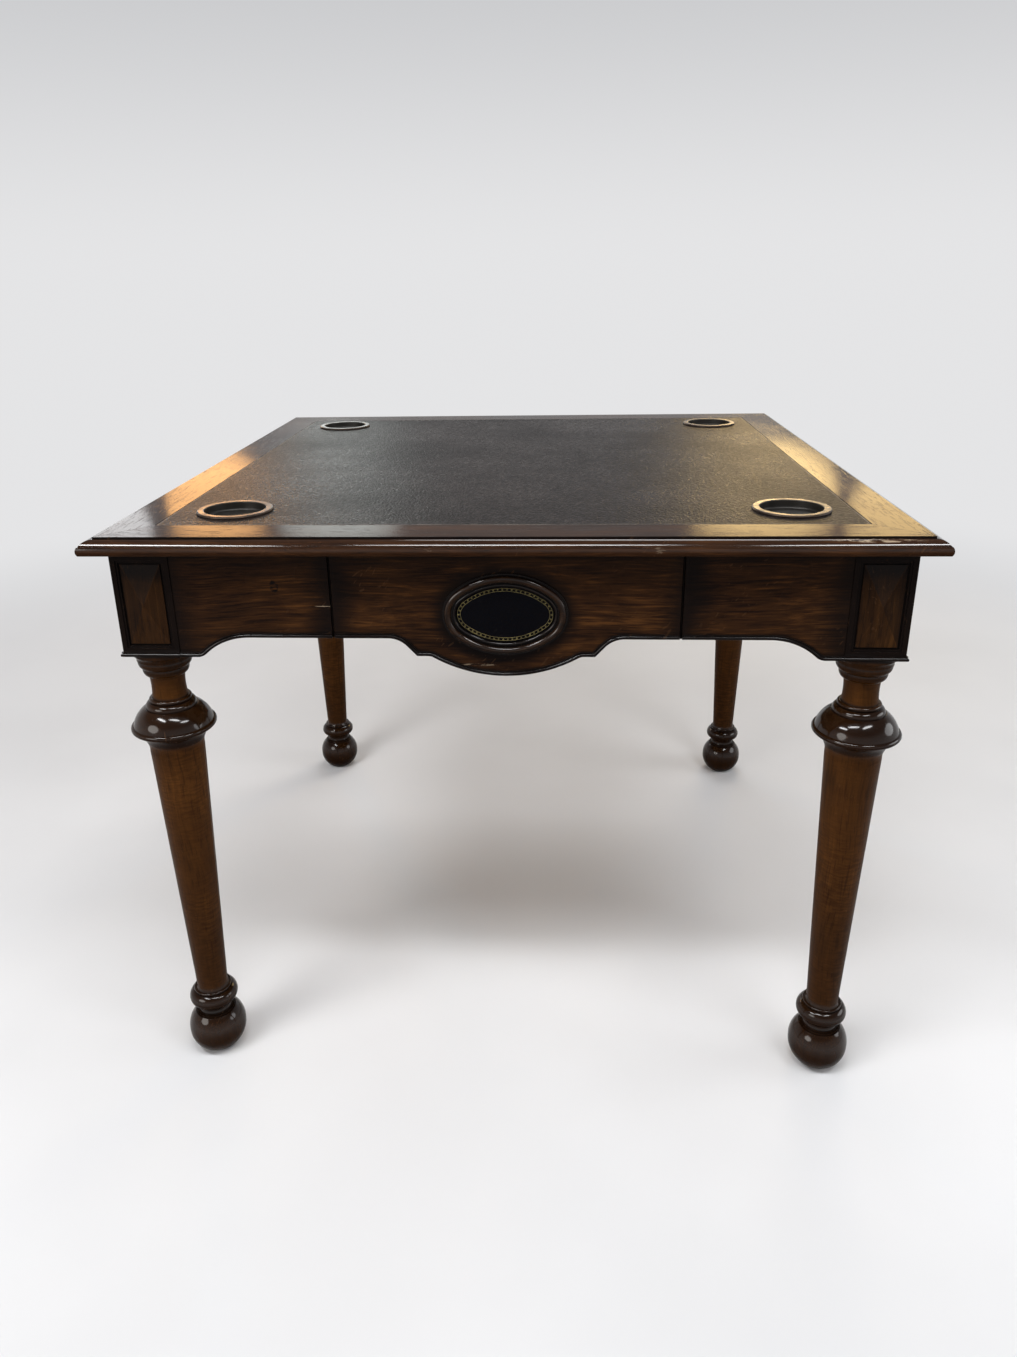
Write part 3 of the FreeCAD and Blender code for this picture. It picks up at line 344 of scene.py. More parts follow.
# The same on the oval moulding, from its leather, and on the border, from the table's middle
# OVAL_LINE places a painted dark line, the shade of a fine groove on the moulding's crest
OVAL_INNER, OVAL_LINE, OVAL_RIM = (0.0062, 0.0048), 0.0102, (0.0112, 0.013)
OVAL_LINE_FADE = (0.0007, 0.0003)
# GROOVE_INNER and GROOVE_OUTER bound the painted shade in the border's groove
GROOVE_INNER, GROOVE_OUTER, WAXED_EDGE = (0.4665, 0.4675), (0.4705, 0.4685), (0.4665, 0.469)
# The inner edge of a dish's rim, and the painted highlight line on the playing leather
DISH_RIM = (0.0385, 0.0375)
LEATHER_LINE_INSET, LEATHER_LINE_FADE = 0.0014, (0.0011, 0.0005)

# Marks on the front: the centre, the reach each way, how fine the patches are and where they begin to show
KNOT = ((-0.267, -0.456, 0.7), (0.006, 0.004, 0.009), 300.0, 0.42)
SCUFF = ((-0.03, -0.456, 0.604), (0.024, 0.004, 0.002), 330.0, 0.5)
SPLIT = ((-0.211, -0.456, 0.676), (0.011, 0.004, 0.0005), 180.0, 0.25)
WORN_GROOVE = ((-0.045, -0.4685, 0.7605), (0.016, 0.003, 0.004), 260.0, 0.4)
PALE_FLECKS = ((0.405, -0.4715, 0.7575), (0.066, 0.0055, 0.0028), 230.0, 0.47)
LEFT_DENT = ((-0.084, -0.4815, 0.75), (0.007, 0.003, 0.004), 300.0, 0.5)
RIGHT_DENT = ((0.17, -0.4815, 0.75), (0.009, 0.003, 0.004), 300.0, 0.5)


def new_finish(name):
    """A new material as (material, its tree, its surface shader)."""
    material = bpy.data.materials.new(name)
    material.use_nodes = True
    tree = Tree(material.node_tree)
    return material, tree, material.node_tree.nodes["Principled BSDF"]


def set_finish(tree, shader, **values):
    """Sets the surface shader's sockets, each under its own name in small letters."""
    for name, value in values.items():
        tree.feed(shader.inputs[name.replace("_", " ").title().replace("Ior", "IOR")], value)


def lacquered_wood(name, lie, burnish_and_shade, light, middle, dark, streak=0.004, contrast=1.0, gloss=0.26,
                   shine=0.05, wax=0.18, marks=None, rubbing=0.3, easing=0.0008, wormy=0.03, reach=0.016):
    """Dark stained and lacquered wood, painted near black with shade in its corners, grooves and joints
    along with their dirt. lie gives the grain's coordinates, and the function after it how far a place is
    darkened, by burnishing and by painted shade, and to what colour, how dull it is and how much wax it
    carries. marks gives where it shows pale marks the colour of bare wood."""
    material, tree, shader = new_finish(name)
    place = tree.place()
    grain = lie(tree, place)
    figure = tree.group(WOOD_FIGURE, vector=grain, light=light, middle=middle, dark=dark,
                        streak=streak, contrast=contrast)
    edge = tree.group(EDGE_RUBBING, place=place, radius=easing, amount=rubbing)
    grime = tree.group(RECESS_GRIME_AND_SHADE, place=place, reach=reach)["Grime"]
    scratch = tree.group(FINE_SCRATCHES, vector=grain)["Scratch"]
    hole = tree.group(WORM_HOLES, place=place, share=wormy)["Hole"]
    shade, darker_colour, dull, coat = burnish_and_shade(tree, place, figure["Cloud"])
    # darkened by burnishing and, where the function gives it, by painted shade
    colour = tree.mix(shade, figure["Colour"], darker_colour)
    # painted shade: corners, grooves and joints darkened towards near black, along with their dirt
    colour = tree.mix(tree.times(grime, 0.92), colour, BLACK_AND_SHADE)
    colour = tree.mix(edge["Rubbed"], colour, RUBBED_WOOD)
    colour = tree.mix(tree.times(scratch, 0.2), colour, RUBBED_WOOD)
    colour = tree.mix(hole, colour, BLACK_AND_SHADE)
    if marks:
        marked_pale = marks(tree, place)
        colour = tree.mix(marked_pale, colour, BARE_WOOD)
        scratch = tree.largest(scratch, marked_pale)
    rough = tree.step(figure["Cloud"], 0.3, 0.7, gloss * 0.8, gloss * 1.25)
    rough = tree.times_plus(scratch, 0.15, tree.times_plus(grime, 0.12, rough))
    rough = tree.plus(tree.times_plus(edge["Rubbed"], 0.15, rough), dull)
    height = tree.times_plus(scratch, -0.6, figure["Height"])
    height = tree.times_plus(hole, -4.0, height)
    set_finish(tree, shader, base_color=colour, roughness=rough, coat_weight=coat, coat_roughness=wax,
               specular_ior_level=shine, normal=tree.bump(height, 0.00025, 0.35, edge["Normal"]))
    return material


def apron_grain(tree, place):
    """Fibres along each side, with another length of wood for each panel and drawer front."""
    return tree.group(BOARD_LIE, place=place, panel_joint=DRAWER_JOINT)["Vector"]


def border_grain(tree, place):
    """Fibres along each side, with mitres at the corners."""
    return tree.group(BOARD_LIE, place=place, panel_joint=NO_JOINT)["Vector"]


def upright_grain(tree, place):
    """Fibres up the leg, and another length of wood for each corner."""
    x, y, z = tree.split(place)
    corner = tree.times(tree.maths("SIGN", y), CORNER_CUT_Y)
    corner = tree.times_plus(tree.maths("SIGN", x), CORNER_CUT_X, corner)
    return tree.joined(tree.plus(z, corner), x, y)


def waxed(tree, amount):
    """Wax on a place, in full where it looks up and none where it looks down."""
    up = tree.split(tree.node("ShaderNodeNewGeometry").outputs["Normal"])[2]
    return tree.times(tree.step(up, -0.15, 0.4), amount)


def outermost(tree, place):
    """How far a place lies out from the table's middle, square on to the nearest side."""
    x, y = tree.split(place)[:2]
    return tree.largest(tree.unsigned(x), tree.unsigned(y))


def oval_centres(half_width, half_height, end_radius):
    """An oval struck from four centres: how far out its end centres lie, the radius of its long sides,
    and the angle at which an end runs into a side."""
    reach = half_width - end_radius
    side_radius = (reach ** 2 + half_height ** 2 - end_radius ** 2) / (2 * (half_height - end_radius))
    return reach, side_radius, math.atan2(side_radius - half_height, reach)


def past_leather(tree, place):
    """How far a place on the apron lies outside the edge of the oval leather of its side."""
    low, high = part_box("drawer_front_oval_leather")
    half_height = (high.z - low.z) / 2
    reach, side_radius, sweep = oval_centres((high.x - low.x) / 2, half_height, OVAL_END_RADIUS)
    run = tree.unsigned(tree.group(BOARD_LIE, place=place)["Along"])
    level = tree.unsigned(tree.minus(tree.split(place)[2], (low.z + high.z) / 2))
    past_reach = tree.minus(run, reach)
    from_end = tree.vector("LENGTH", tree.joined(past_reach, level, 0.0))
    from_end = tree.minus(from_end, OVAL_END_RADIUS)
    past_centre = tree.plus(level, side_radius - half_height)
    from_side = tree.vector("LENGTH", tree.joined(run, past_centre, 0.0))
    from_side = tree.minus(from_side, side_radius)
    turn = tree.minus(tree.times(level, math.cos(sweep)), tree.times(past_reach, math.sin(sweep)))
    on_side = tree.maths("GREATER_THAN", turn, 0.0)
    return tree.times_plus(on_side, tree.minus(from_side, from_end), from_end)


def mark(tree, place, centre, reach, fineness, low):
    """A patchy mark on the front, round its centre and as far as its reach each way."""
    away = tree.vector("LENGTH", tree.vector("DIVIDE", tree.vector("SUBTRACT", place, centre), reach))
    patch = tree.noise(tree.vector("MULTIPLY", place, (0.35, 1.0, 1.6)), fineness, 3.0, 0.7)
    return tree.times(tree.step(away, 1.0, 0.7), tree.step(patch, low, low + 0.12))


def apron_burnish_and_shade(tree, place, cloud):
    """Dark towards the drawer's joints, the posts and the oval, black on the bead, and with a painted
    shadow under the top.
    """
    run = tree.unsigned(tree.group(BOARD_LIE, place=place)["Along"])
    up = tree.split(place)[2]
    wander = tree.times(tree.minus(cloud, 0.5), 0.06)
    from_joint = tree.unsigned(tree.minus(run, DRAWER_JOINT))
    joint = tree.step(tree.plus(from_joint, wander), *JOINT_SHADE, 0.0, 0.85)
    post = tree.step(tree.plus(run, wander), *POST_SHADE, 0.0, 0.85)
    # painted shadow of the top's overhang, deepening upwards
    painted_top_shadow = tree.step(tree.plus(up, wander), *TOP_SHADE, 0.0, 0.6)
    from_oval = tree.times_plus(wander, 0.2, past_leather(tree, place))
    oval = tree.step(from_oval, *OVAL_SHADE, 0.0, 0.85)
    bead = tree.step(outermost(tree, place), *BEAD_FACE, 0.0, 0.95)
    knot = mark(tree, place, *KNOT)
    patches = tree.step(tree.noise(place, 16.0, 3.0), 0.42, 0.62, 0.08, 0.6)
    wax = waxed(tree, tree.times_plus(bead, patches, 0.02))
    return tree.largest(joint, post, painted_top_shadow, oval, bead, knot), BLACK_AND_SHADE, 0.0, wax


def apron_marks(tree, place):
    """Scuffs under the oval of the front drawer, and a split beside its left-hand joint."""
    scuff = tree.times(mark(tree, place, *SCUFF), 0.4)
    return tree.largest(scuff, tree.times(mark(tree, place, *SPLIT), 0.55))


def leg_burnish(tree, place, cloud):
    """Black on the post, dark and glossy on the collar, the bulb and the foot. The neck and the shaft are
    brown and duller, and the shaft darkens downwards and has the faint rings that the turning tool left."""
    up = tree.split(place)[2]
    rings = tree.noise(tree.vector("MULTIPLY", place, (0.2, 0.2, 1.0)), 330.0, 3.0, 0.7)
    rings = tree.times(tree.step(rings, 0.36, 0.64), tree.step(cloud, 0.36, 0.6, 0.08, 0.36))
    up = tree.plus(up, tree.times(tree.minus(cloud, 0.5), 0.012))
    foot = tree.step(up, *FOOT_TOP)
    bulb = tree.times(tree.step(up, *BULB_BOTTOM), tree.step(up, *BULB_TOP))
    collar = tree.step(up, *COLLAR_BOTTOM)
    post = tree.step(up, *POST_BOTTOM)
    bead = tree.times(post, tree.step(up, *POST_BEAD_TOP))
    polished = tree.largest(foot, bulb, collar)
    polish = tree.times(polished, tree.step(post, 0.0, 1.0, 0.55, 0.05))
    polish = tree.largest(polish, tree.times(bead, 0.5))
    stained = tree.step(cloud, 0.35, 0.62, 0.7, 0.94)
    shaft = tree.plus(rings, tree.step(up, *SHAFT_DARKENING, 0.0, 0.32))
    shade = tree.largest(tree.times(foot, stained), tree.times(bulb, stained), tree.times(collar, 0.66),
                         tree.times(post, 0.96), shaft)
    darker_colour = tree.mix(post, SCORCHED, BLACK_AND_SHADE)
    return shade, darker_colour, tree.step(polished, 0.0, 1.0, 0.18, 0.0), waxed(tree, polish)


def diamond_painted_shade(tree, place, cloud):
    """Painted shade on each raised panel: nearly black at its head and brown below it, darker on one side
    than the other and on the upper facet, none on the lower facet, and lighter along the arrises.
    """
    x, y, z = tree.split(place)
    low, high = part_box("post_diamonds")
    leg_low, leg_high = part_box("leg_back_right")
    post = (leg_low.x + leg_high.x) / 2
    inner = tree.maths("MINIMUM", tree.unsigned(x), tree.unsigned(y))
    sideways = tree.maths("DIVIDE", tree.minus(inner, post), DIAMOND_HALF)
    rise = tree.maths("DIVIDE", tree.minus(z, (low.z + high.z) / 2), (high.z - low.z) / 2)
    slope = tree.minus(tree.unsigned(rise), tree.unsigned(sideways))
    upper = tree.times(tree.step(slope, -0.03, 0.06), tree.step(rise, -0.02, 0.02))
    lower = tree.times(tree.step(slope, -0.03, 0.06), tree.step(rise, 0.02, -0.02))
    # painted shade, nearly black at the head of the panel
    head = tree.step(tree.times_plus(cloud, 0.5, rise), 0.6, 1.12, 0.0, 0.92)
    # painted shade on the sides, heavier on one than on the other
    painted_side_shade = tree.step(sideways, -0.1, 0.1, 0.25, 0.5)
    arris = tree.step(tree.unsigned(slope), 0.0, 0.07, 0.25, 0.0)
    # painted shade on the upper facet and the sides, none on the lower facet
    shade = tree.largest(tree.times(upper, 0.5), head, tree.times(tree.minus(1.0, lower), painted_side_shade))
    return tree.minus(shade, arris, clamp=True), BLACK_AND_SHADE, 0.0, tree.times(upper, 0.08)


def border_groove_shade_and_wear(tree, place, _cloud):
    """Painted shade in the groove where the flat of the border meets its moulded edge, and dark on a worn
    place there.
    """
    out = outermost(tree, place)
    # painted shade in the groove
    groove = tree.times(tree.step(out, *GROOVE_INNER), tree.step(out, *GROOVE_OUTER, 0.0, 0.85))
    worn = mark(tree, place, *WORN_GROOVE)
    return tree.largest(groove, worn), BLACK_AND_SHADE, 0.0, waxed(tree, tree.step(out, *WAXED_EDGE, 0.02, 0.8))


def oval_darkening_and_groove_shade(tree, place, cloud):
    """Brown on the crest of the moulding, with a painted dark line on it that stands for the shade in a
    fine groove, and nearly black inside it and on its rim."""
    out = past_leather(tree, place)
    inner = tree.step(out, *OVAL_INNER, 0.0, 0.9)
    rim = tree.step(out, *OVAL_RIM, 0.0, 0.9)
    # a painted dark line, the shade of a fine groove
    from_line = tree.unsigned(tree.minus(out, OVAL_LINE))
    line = tree.step(from_line, *OVAL_LINE_FADE, 0.0, 0.7)
    patches = tree.step(cloud, 0.35, 0.65, 0.1, 0.6)
    return tree.largest(inner, rim, line, patches), BLACK_AND_SHADE, 0.0, waxed(tree, 0.7)


def border_marks(tree, place):
    """Pale flecks at the right-hand end of the moulded front edge, and two dents on its nose."""
    pale_flecks = tree.times(mark(tree, place, *PALE_FLECKS), 0.8)
    dents = (tree.times(mark(tree, place, *dent), 0.2) for dent in (LEFT_DENT, RIGHT_DENT))
    return tree.largest(pale_flecks, *dents)


APRON_WOOD = lacquered_wood("apron_wood", apron_grain, apron_burnish_and_shade, (0.066, 0.0262, 0.0076),
                            (0.025, 0.01, 0.0038), (0.0075, 0.0034, 0.0021), streak=0.0026, contrast=1.3,
                            shine=0.035, marks=apron_marks)
LEG_WOOD = lacquered_wood("leg_wood", upright_grain, leg_burnish, (0.1, 0.0372, 0.0078),
                          (0.057, 0.021, 0.0047), (0.021, 0.0085, 0.0027), contrast=0.6, gloss=0.2,
                          shine=0.03, wax=0.1, reach=0.007)
DIAMOND_WOOD = lacquered_wood("diamond_wood", upright_grain, diamond_painted_shade, (0.055, 0.0228, 0.0062),
                              (0.026, 0.0106, 0.0034), (0.009, 0.0041, 0.0021), streak=0.005, contrast=1.1,
                              shine=0.035, wormy=0.0, reach=0.008)
BORDER_WOOD = lacquered_wood("border_wood", border_grain, border_groove_shade_and_wear, (0.05, 0.0195, 0.0068),
                             (0.026, 0.0103, 0.0042), (0.011, 0.0048, 0.0028), contrast=1.2, gloss=0.11,
                             shine=0.02, wax=0.09, marks=border_marks, rubbing=0.12, wormy=0.06,
                             reach=0.008)
OVAL_WOOD = lacquered_wood("oval_moulding_wood", apron_grain, oval_darkening_and_groove_shade, (0.052, 0.0215, 0.0068),
                           (0.021, 0.0092, 0.0036), (0.006, 0.0033, 0.0023), gloss=0.2, wax=0.1,
                           easing=0.0003, wormy=0.0, reach=0.004)


def plain_wood(name, light, middle, dark):
    """Unpolished wood of the hidden frame and the drawer boxes."""
    material, tree, shader = new_finish(name)
    place = tree.place()
    grain = border_grain(tree, place)
    figure = tree.group(WOOD_FIGURE, vector=grain, light=light, middle=middle, dark=dark,
                        streak=0.01, contrast=0.8)
    edge = tree.group(EDGE_RUBBING, place=place, radius=0.0012, amount=0.3)
    grime = tree.group(RECESS_GRIME_AND_SHADE, place=place, reach=0.03)["Grime"]
    # dust and painted shade in the corners of the hidden frame
    colour = tree.mix(tree.times(grime, 0.5), figure["Colour"], DUST_AND_SHADE_WOOD)
    colour = tree.mix(edge["Rubbed"], colour, light)
    rough = tree.step(figure["Cloud"], 0.3, 0.7, 0.55, 0.75)
    set_finish(tree, shader, base_color=colour, roughness=rough, specular_ior_level=0.3,
               normal=tree.bump(figure["Height"], 0.0003, 0.6, edge["Normal"]))
    return material


FRAME_WOOD = plain_wood("hidden_frame_wood", (0.42, 0.27, 0.14), (0.3, 0.18, 0.09), (0.18, 0.1, 0.05))


def leather(name, base, sheen_tone, scale, rough, shine, depth, painted_edge_highlight=None):
    """Close-grained leather with a few worn lines, painted shade in its creases and a cloudy satin sheen
    painted into its colour.
    The last argument gives where a highlight is painted pale along its edge."""
    material, tree, shader = new_finish(name)
    place = tree.place()
    pebble = tree.group(LEATHER_PEBBLE, place=place, scale=scale)
    scratch = tree.group(FINE_SCRATCHES, vector=place)["Scratch"]
    grime = tree.group(RECESS_GRIME_AND_SHADE, place=place, reach=0.006)["Grime"]
    # painted sheen: specks and clouds lighten the colour towards sheen_tone
    tone = tree.times_plus(pebble["Speck"], 0.6, tree.times(pebble["Cloud"], 0.4))
    colour = tree.mix(tree.step(tone, 0.38, 0.64), base, sheen_tone)
    # painted shade in the creases between the pebbles
    colour = tree.mix(tree.step(pebble["Height"], 0.4, 0.9, 0.7, 0.0), colour, BLACK_AND_SHADE)
    colour = tree.mix(tree.times(scratch, 0.06), colour, SCRATCHED_LEATHER)
    # painted shade and dirt in the hollows of the leather
    colour = tree.mix(tree.times(grime, 0.6), colour, BLACK_AND_SHADE)
    # a painted highlight along the edge, where one is given
    if painted_edge_highlight:
        colour = tree.mix(painted_edge_highlight(tree, place), colour, EDGE_HIGHLIGHT_LEATHER)
    roughness = tree.step(tone, 0.36, 0.64, rough * 1.2, rough * 0.8)
    set_finish(tree, shader, base_color=colour, roughness=roughness, specular_ior_level=shine,
               normal=tree.bump(pebble["Height"], depth, 0.6))
    return material


def field_edge_highlight(tree, place):
    """A painted highlight: a thin line just inside the edge of the playing leather, brighter in some
    places.
    """
    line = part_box("playing_leather")[1].x - LEATHER_LINE_INSET
    from_line = tree.unsigned(tree.minus(line, outermost(tree, place)))
    # the painted highlight is patchy along the edge
    worn = tree.step(tree.noise(place, 22.0, 3.0, 0.6), 0.35, 0.65, 0.25, 0.9)
    return tree.times(tree.step(from_line, *LEATHER_LINE_FADE), worn)


FIELD_LEATHER = leather("playing_leather", (0.01, 0.007, 0.0058), (0.036, 0.0248, 0.0198), scale=400.0,
                        rough=0.32, shine=0.03, depth=0.0012, painted_edge_highlight=field_edge_highlight)
OVAL_LEATHER = leather("oval_leather", (0.0011, 0.0016, 0.003), (0.0024, 0.0031, 0.005), scale=900.0,
                       rough=0.5, shine=0.015, depth=0.0002)


def dull_metal(name, bright, dull, dark, rough, metallic=1.0, inside=None):
    """Metal with a patina, rubbed bright on its edges, and dull and dark with dirt and painted shade in its
    corners. inside gives how far a place lies in a hollow, where the metal is darker and greyer."""
    material, tree, shader = new_finish(name)
    place = tree.place()
    edge = tree.group(EDGE_RUBBING, place=place, radius=0.0009, amount=1.0)
    grime = tree.group(RECESS_GRIME_AND_SHADE, place=place, reach=0.012)["Grime"]
    stain = tree.noise(place, 60.0, 4.0, 0.6)
    turned = tree.noise(tree.vector("MULTIPLY", place, (0.2, 0.2, 1.0)), 900.0, 2.0)
    colour = tree.mix(tree.step(stain, 0.35, 0.65), dull, dark)
    if inside:
        hollow = inside(tree, place)
        colour = tree.mix(hollow, colour, tree.mix(stain, HOLLOW_DARK, HOLLOW_LIGHT))
        grime = tree.largest(grime, tree.times(hollow, 0.5))
    # painted shade and dirt in the corners of the metal
    colour = tree.mix(tree.times(grime, 0.6), colour, BLACK_AND_SHADE)
    colour = tree.mix(edge["Rubbed"], colour, bright)
    roughness = tree.times_plus(grime, 0.25, tree.step(stain, 0.3, 0.7, rough * 0.8, rough * 1.2))
    set_finish(tree, shader, base_color=colour, roughness=roughness,
               metallic=tree.step(grime, 0.2, 0.8, metallic, metallic / 2),
               normal=tree.bump(tree.plus(stain, turned), 0.0001, 0.2, edge["Normal"]))
    return material


def dish_hollow(tree, place):
    """How far a place lies inside the rim of its dish."""
    x, y = tree.split(place)[:2]
    low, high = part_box("dish_back_right")
    centre = (low + high) / 2
    across = tree.minus(tree.unsigned(x), centre.x)
    along = tree.minus(tree.unsigned(y), centre.y)
    away = tree.vector("LENGTH", tree.joined(across, along, 0.0))
    return tree.step(away, *DISH_RIM)


DISH_BRONZE = dull_metal("dish_bronze", (0.25, 0.16, 0.1), (0.066, 0.04, 0.026), (0.035, 0.022, 0.015),
                         rough=0.3, metallic=0.65, inside=dish_hollow)
STEEL = dull_metal("fastener_steel", (0.6, 0.6, 0.61), (0.42, 0.42, 0.43), (0.3, 0.3, 0.31), rough=0.4)
GILT = dull_metal("gilt_tooling", (0.72, 0.58, 0.24), (0.46, 0.37, 0.13), (0.25, 0.2, 0.07), rough=0.42,
                  metallic=0.5)


# The construction model takes its finishes

def finish_node(name, material):
    """Gives a whole node of the construction model one finish."""
    for slot in NODES[name].material_slots:
        slot.material = material


for corner in CORNERS:
    finish_node(f"leg_{corner}", LEG_WOOD)
    finish_node(f"dish_{corner}", DISH_BRONZE)
finish_node("post_diamonds", DIAMOND_WOOD)
for turn, side in enumerate(SIDES):
    finish_node(f"apron_{side}_{SIDES[(turn + 1) % len(SIDES)]}", APRON_WOOD)
    finish_node(f"apron_{side}_{SIDES[turn - 1]}", APRON_WOOD)
    finish_node(f"drawer_{side}_front", APRON_WOOD)
    finish_node(f"drawer_{side}_oval_moulding", OVAL_WOOD)
    finish_node(f"top_border_{side}", BORDER_WOOD)
    finish_node(f"bearer_{side}", FRAME_WOOD)
    for board in ("sides", "back", "bottom"):
        finish_node(f"drawer_{side}_{board}", FRAME_WOOD)
for hidden in ("upper_rails", "lower_rails", "drawer_runners", "corner_blocks", "top_core"):
    finish_node(hidden, FRAME_WOOD)
for fastener in ("leg_bolts", "leg_bolt_washers", "leg_bolt_nuts", "top_screws"):
    finish_node(fastener, STEEL)


# Leather, gilt and the strips that stand for the shade in the drawer joints

TURNED_EDGE, TURNED_STEPS = 0.0006, 3  # the rounding of the playing leather's edges
UNDER_FLANGE, HOLE_STEPS = 0.004, 72  # how far the leather runs in under a dish, and points round its hole
OVAL_STEPS = 16  # points on each of the two arcs in a quarter of an oval
# The leather of an oval from its edge inwards: shares of its outline and of its thickness
FACING_SHARES = ((1.0, 0.0), (1.0, 0.55), (0.997, 0.8), (0.99, 0.95), (0.975, 1.0), (0.9, 1.01),
                 (0.75, 1.03), (0.5, 1.08), (0.25, 1.1))
FACING_CROWN_SHARE, GILT_LEVEL_SHARE = 1.12, 1.01
GILT_INSET = 0.004
GILT_VALUES = {"Scrolls": 50, "Scroll Size": 0.00125, "Band": 0.0034, "Line": 0.0002, "Gilt": GILT}
STRIP_FALL = 0.106  # how far a strip in a drawer joint, which stands for the shade there, reaches down from the top of its panel
STRIP_NOSE, STRIP_BACK = -0.454, -0.437
STRIP_CLEARANCE, STRIP_HOLD = 0.0003, 0.0002  # off the drawer front, and into the panel
STRIP_STEPS = 6


def new_piece(name, mesh, material, body, replaced=None):
    """Puts a mesh in the scene as a piece that moves with a body of the construction model."""
    piece = bpy.data.objects.new(name, mesh)
    scene.collection.objects.link(piece)
    mesh.materials.clear()
    mesh.materials.append(material)
    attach(piece, body)
    if replaced:
        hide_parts(replaced)


def plain_mesh(maker):
    """The plain mesh that a curve or a node tree makes. Its maker is thrown away."""
    scene.collection.objects.link(maker)
    bpy.context.view_layer.update()
    mesh = bpy.data.meshes.new_from_object(maker.evaluated_get(bpy.context.evaluated_depsgraph_get()))
    bpy.data.objects.remove(maker)
    return mesh


def ring_spline(curve, centre, radius):
    """Adds a round hole to a flat curve."""
    spline = curve.splines.new("POLY")
    spline.points.add(HOLE_STEPS - 1)
    spline.use_cyclic_u = True
    for number, point in enumerate(spline.points):
        angle = 2 * math.pi * number / HOLE_STEPS
        point.co = (centre[0] + radius * math.cos(angle), centre[1] + radius * math.sin(angle), 0.0, 1.0)


def playing_field():
    """The leather of the top: a thin sheet with softly turned edges, cut out for the four dishes."""
    low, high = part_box("playing_leather")
    curve = bpy.data.curves.new("playing_field", "CURVE")
    curve.dimensions = "2D"
    curve.fill_mode = "BOTH"
    curve.extrude = (high.z - low.z) / 2 - TURNED_EDGE
    curve.bevel_depth = TURNED_EDGE
    curve.bevel_resolution = TURNED_STEPS
    curve.offset = -TURNED_EDGE
    corners = ((low.x, low.y), (high.x, low.y), (high.x, high.y), (low.x, high.y))
    edge = curve.splines.new("POLY")
    edge.points.add(len(corners) - 1)
    edge.use_cyclic_u = True
    for point, (x, y) in zip(edge.points, corners):
        point.co = (x, y, 0.0, 1.0)
    for corner in CORNERS:
        dish_low, dish_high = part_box(f"dish_{corner}")
        middle = (dish_low + dish_high) / 2
        ring_spline(curve, middle, (dish_high.x - dish_low.x) / 2 - UNDER_FLANGE)
    mesh = plain_mesh(bpy.data.objects.new("playing_field", curve))
    mesh.transform(Matrix.Translation((0.0, 0.0, (low.z + high.z) / 2)))
    new_piece("playing_field", mesh, FIELD_LEATHER, "table", "playing_leather")


def oval_loop(half_width, half_height, end_radius):
    """Points round an oval struck from four centres, counter-clockwise from its right-hand end."""
    reach, side_radius, sweep = oval_centres(half_width, half_height, end_radius)
    arcs = (((reach, 0.0), end_radius, 0.0, sweep),
            ((0.0, half_height - side_radius), side_radius, sweep, QUARTER_TURN))
    points = []
    for centre, radius, start, end in arcs:
        for number in range(OVAL_STEPS):
            angle = start + (end - start) * number / OVAL_STEPS
            points.append((centre[0] + radius * math.cos(angle), centre[1] + radius * math.sin(angle)))
    left = [(0.0, half_height)] + [(-x, y) for x, y in points[:0:-1]]
    half = points + left
    return half + [(-x, -y) for x, y in half]


def oval_facing(outline, middle, face, thick):
    """A leather facing with turned edges, a little proud in its middle, on the front of the table."""
    points = [(x * share, face - thick * lift, middle + z * share)
              for share, lift in FACING_SHARES for x, z in outline]
    count = len(outline)
    faces = []
    for ring in range(len(FACING_SHARES) - 1):
        for number in range(count):
            following = (number + 1) % count
            low, high = ring * count, (ring + 1) * count
            faces.append((low + number, low + following, high + following, high + number))
    last = (len(FACING_SHARES) - 1) * count
    points.append((0.0, face - thick * FACING_CROWN_SHARE, middle))
    faces += [(last + number, last + (number + 1) % count, len(points) - 1) for number in range(count)]
    faces.append(tuple(range(count - 1, -1, -1)))
    mesh = bpy.data.meshes.new("oval_facing")
    mesh.from_pydata(points, [], faces)
    mesh.shade_smooth()
    return mesh


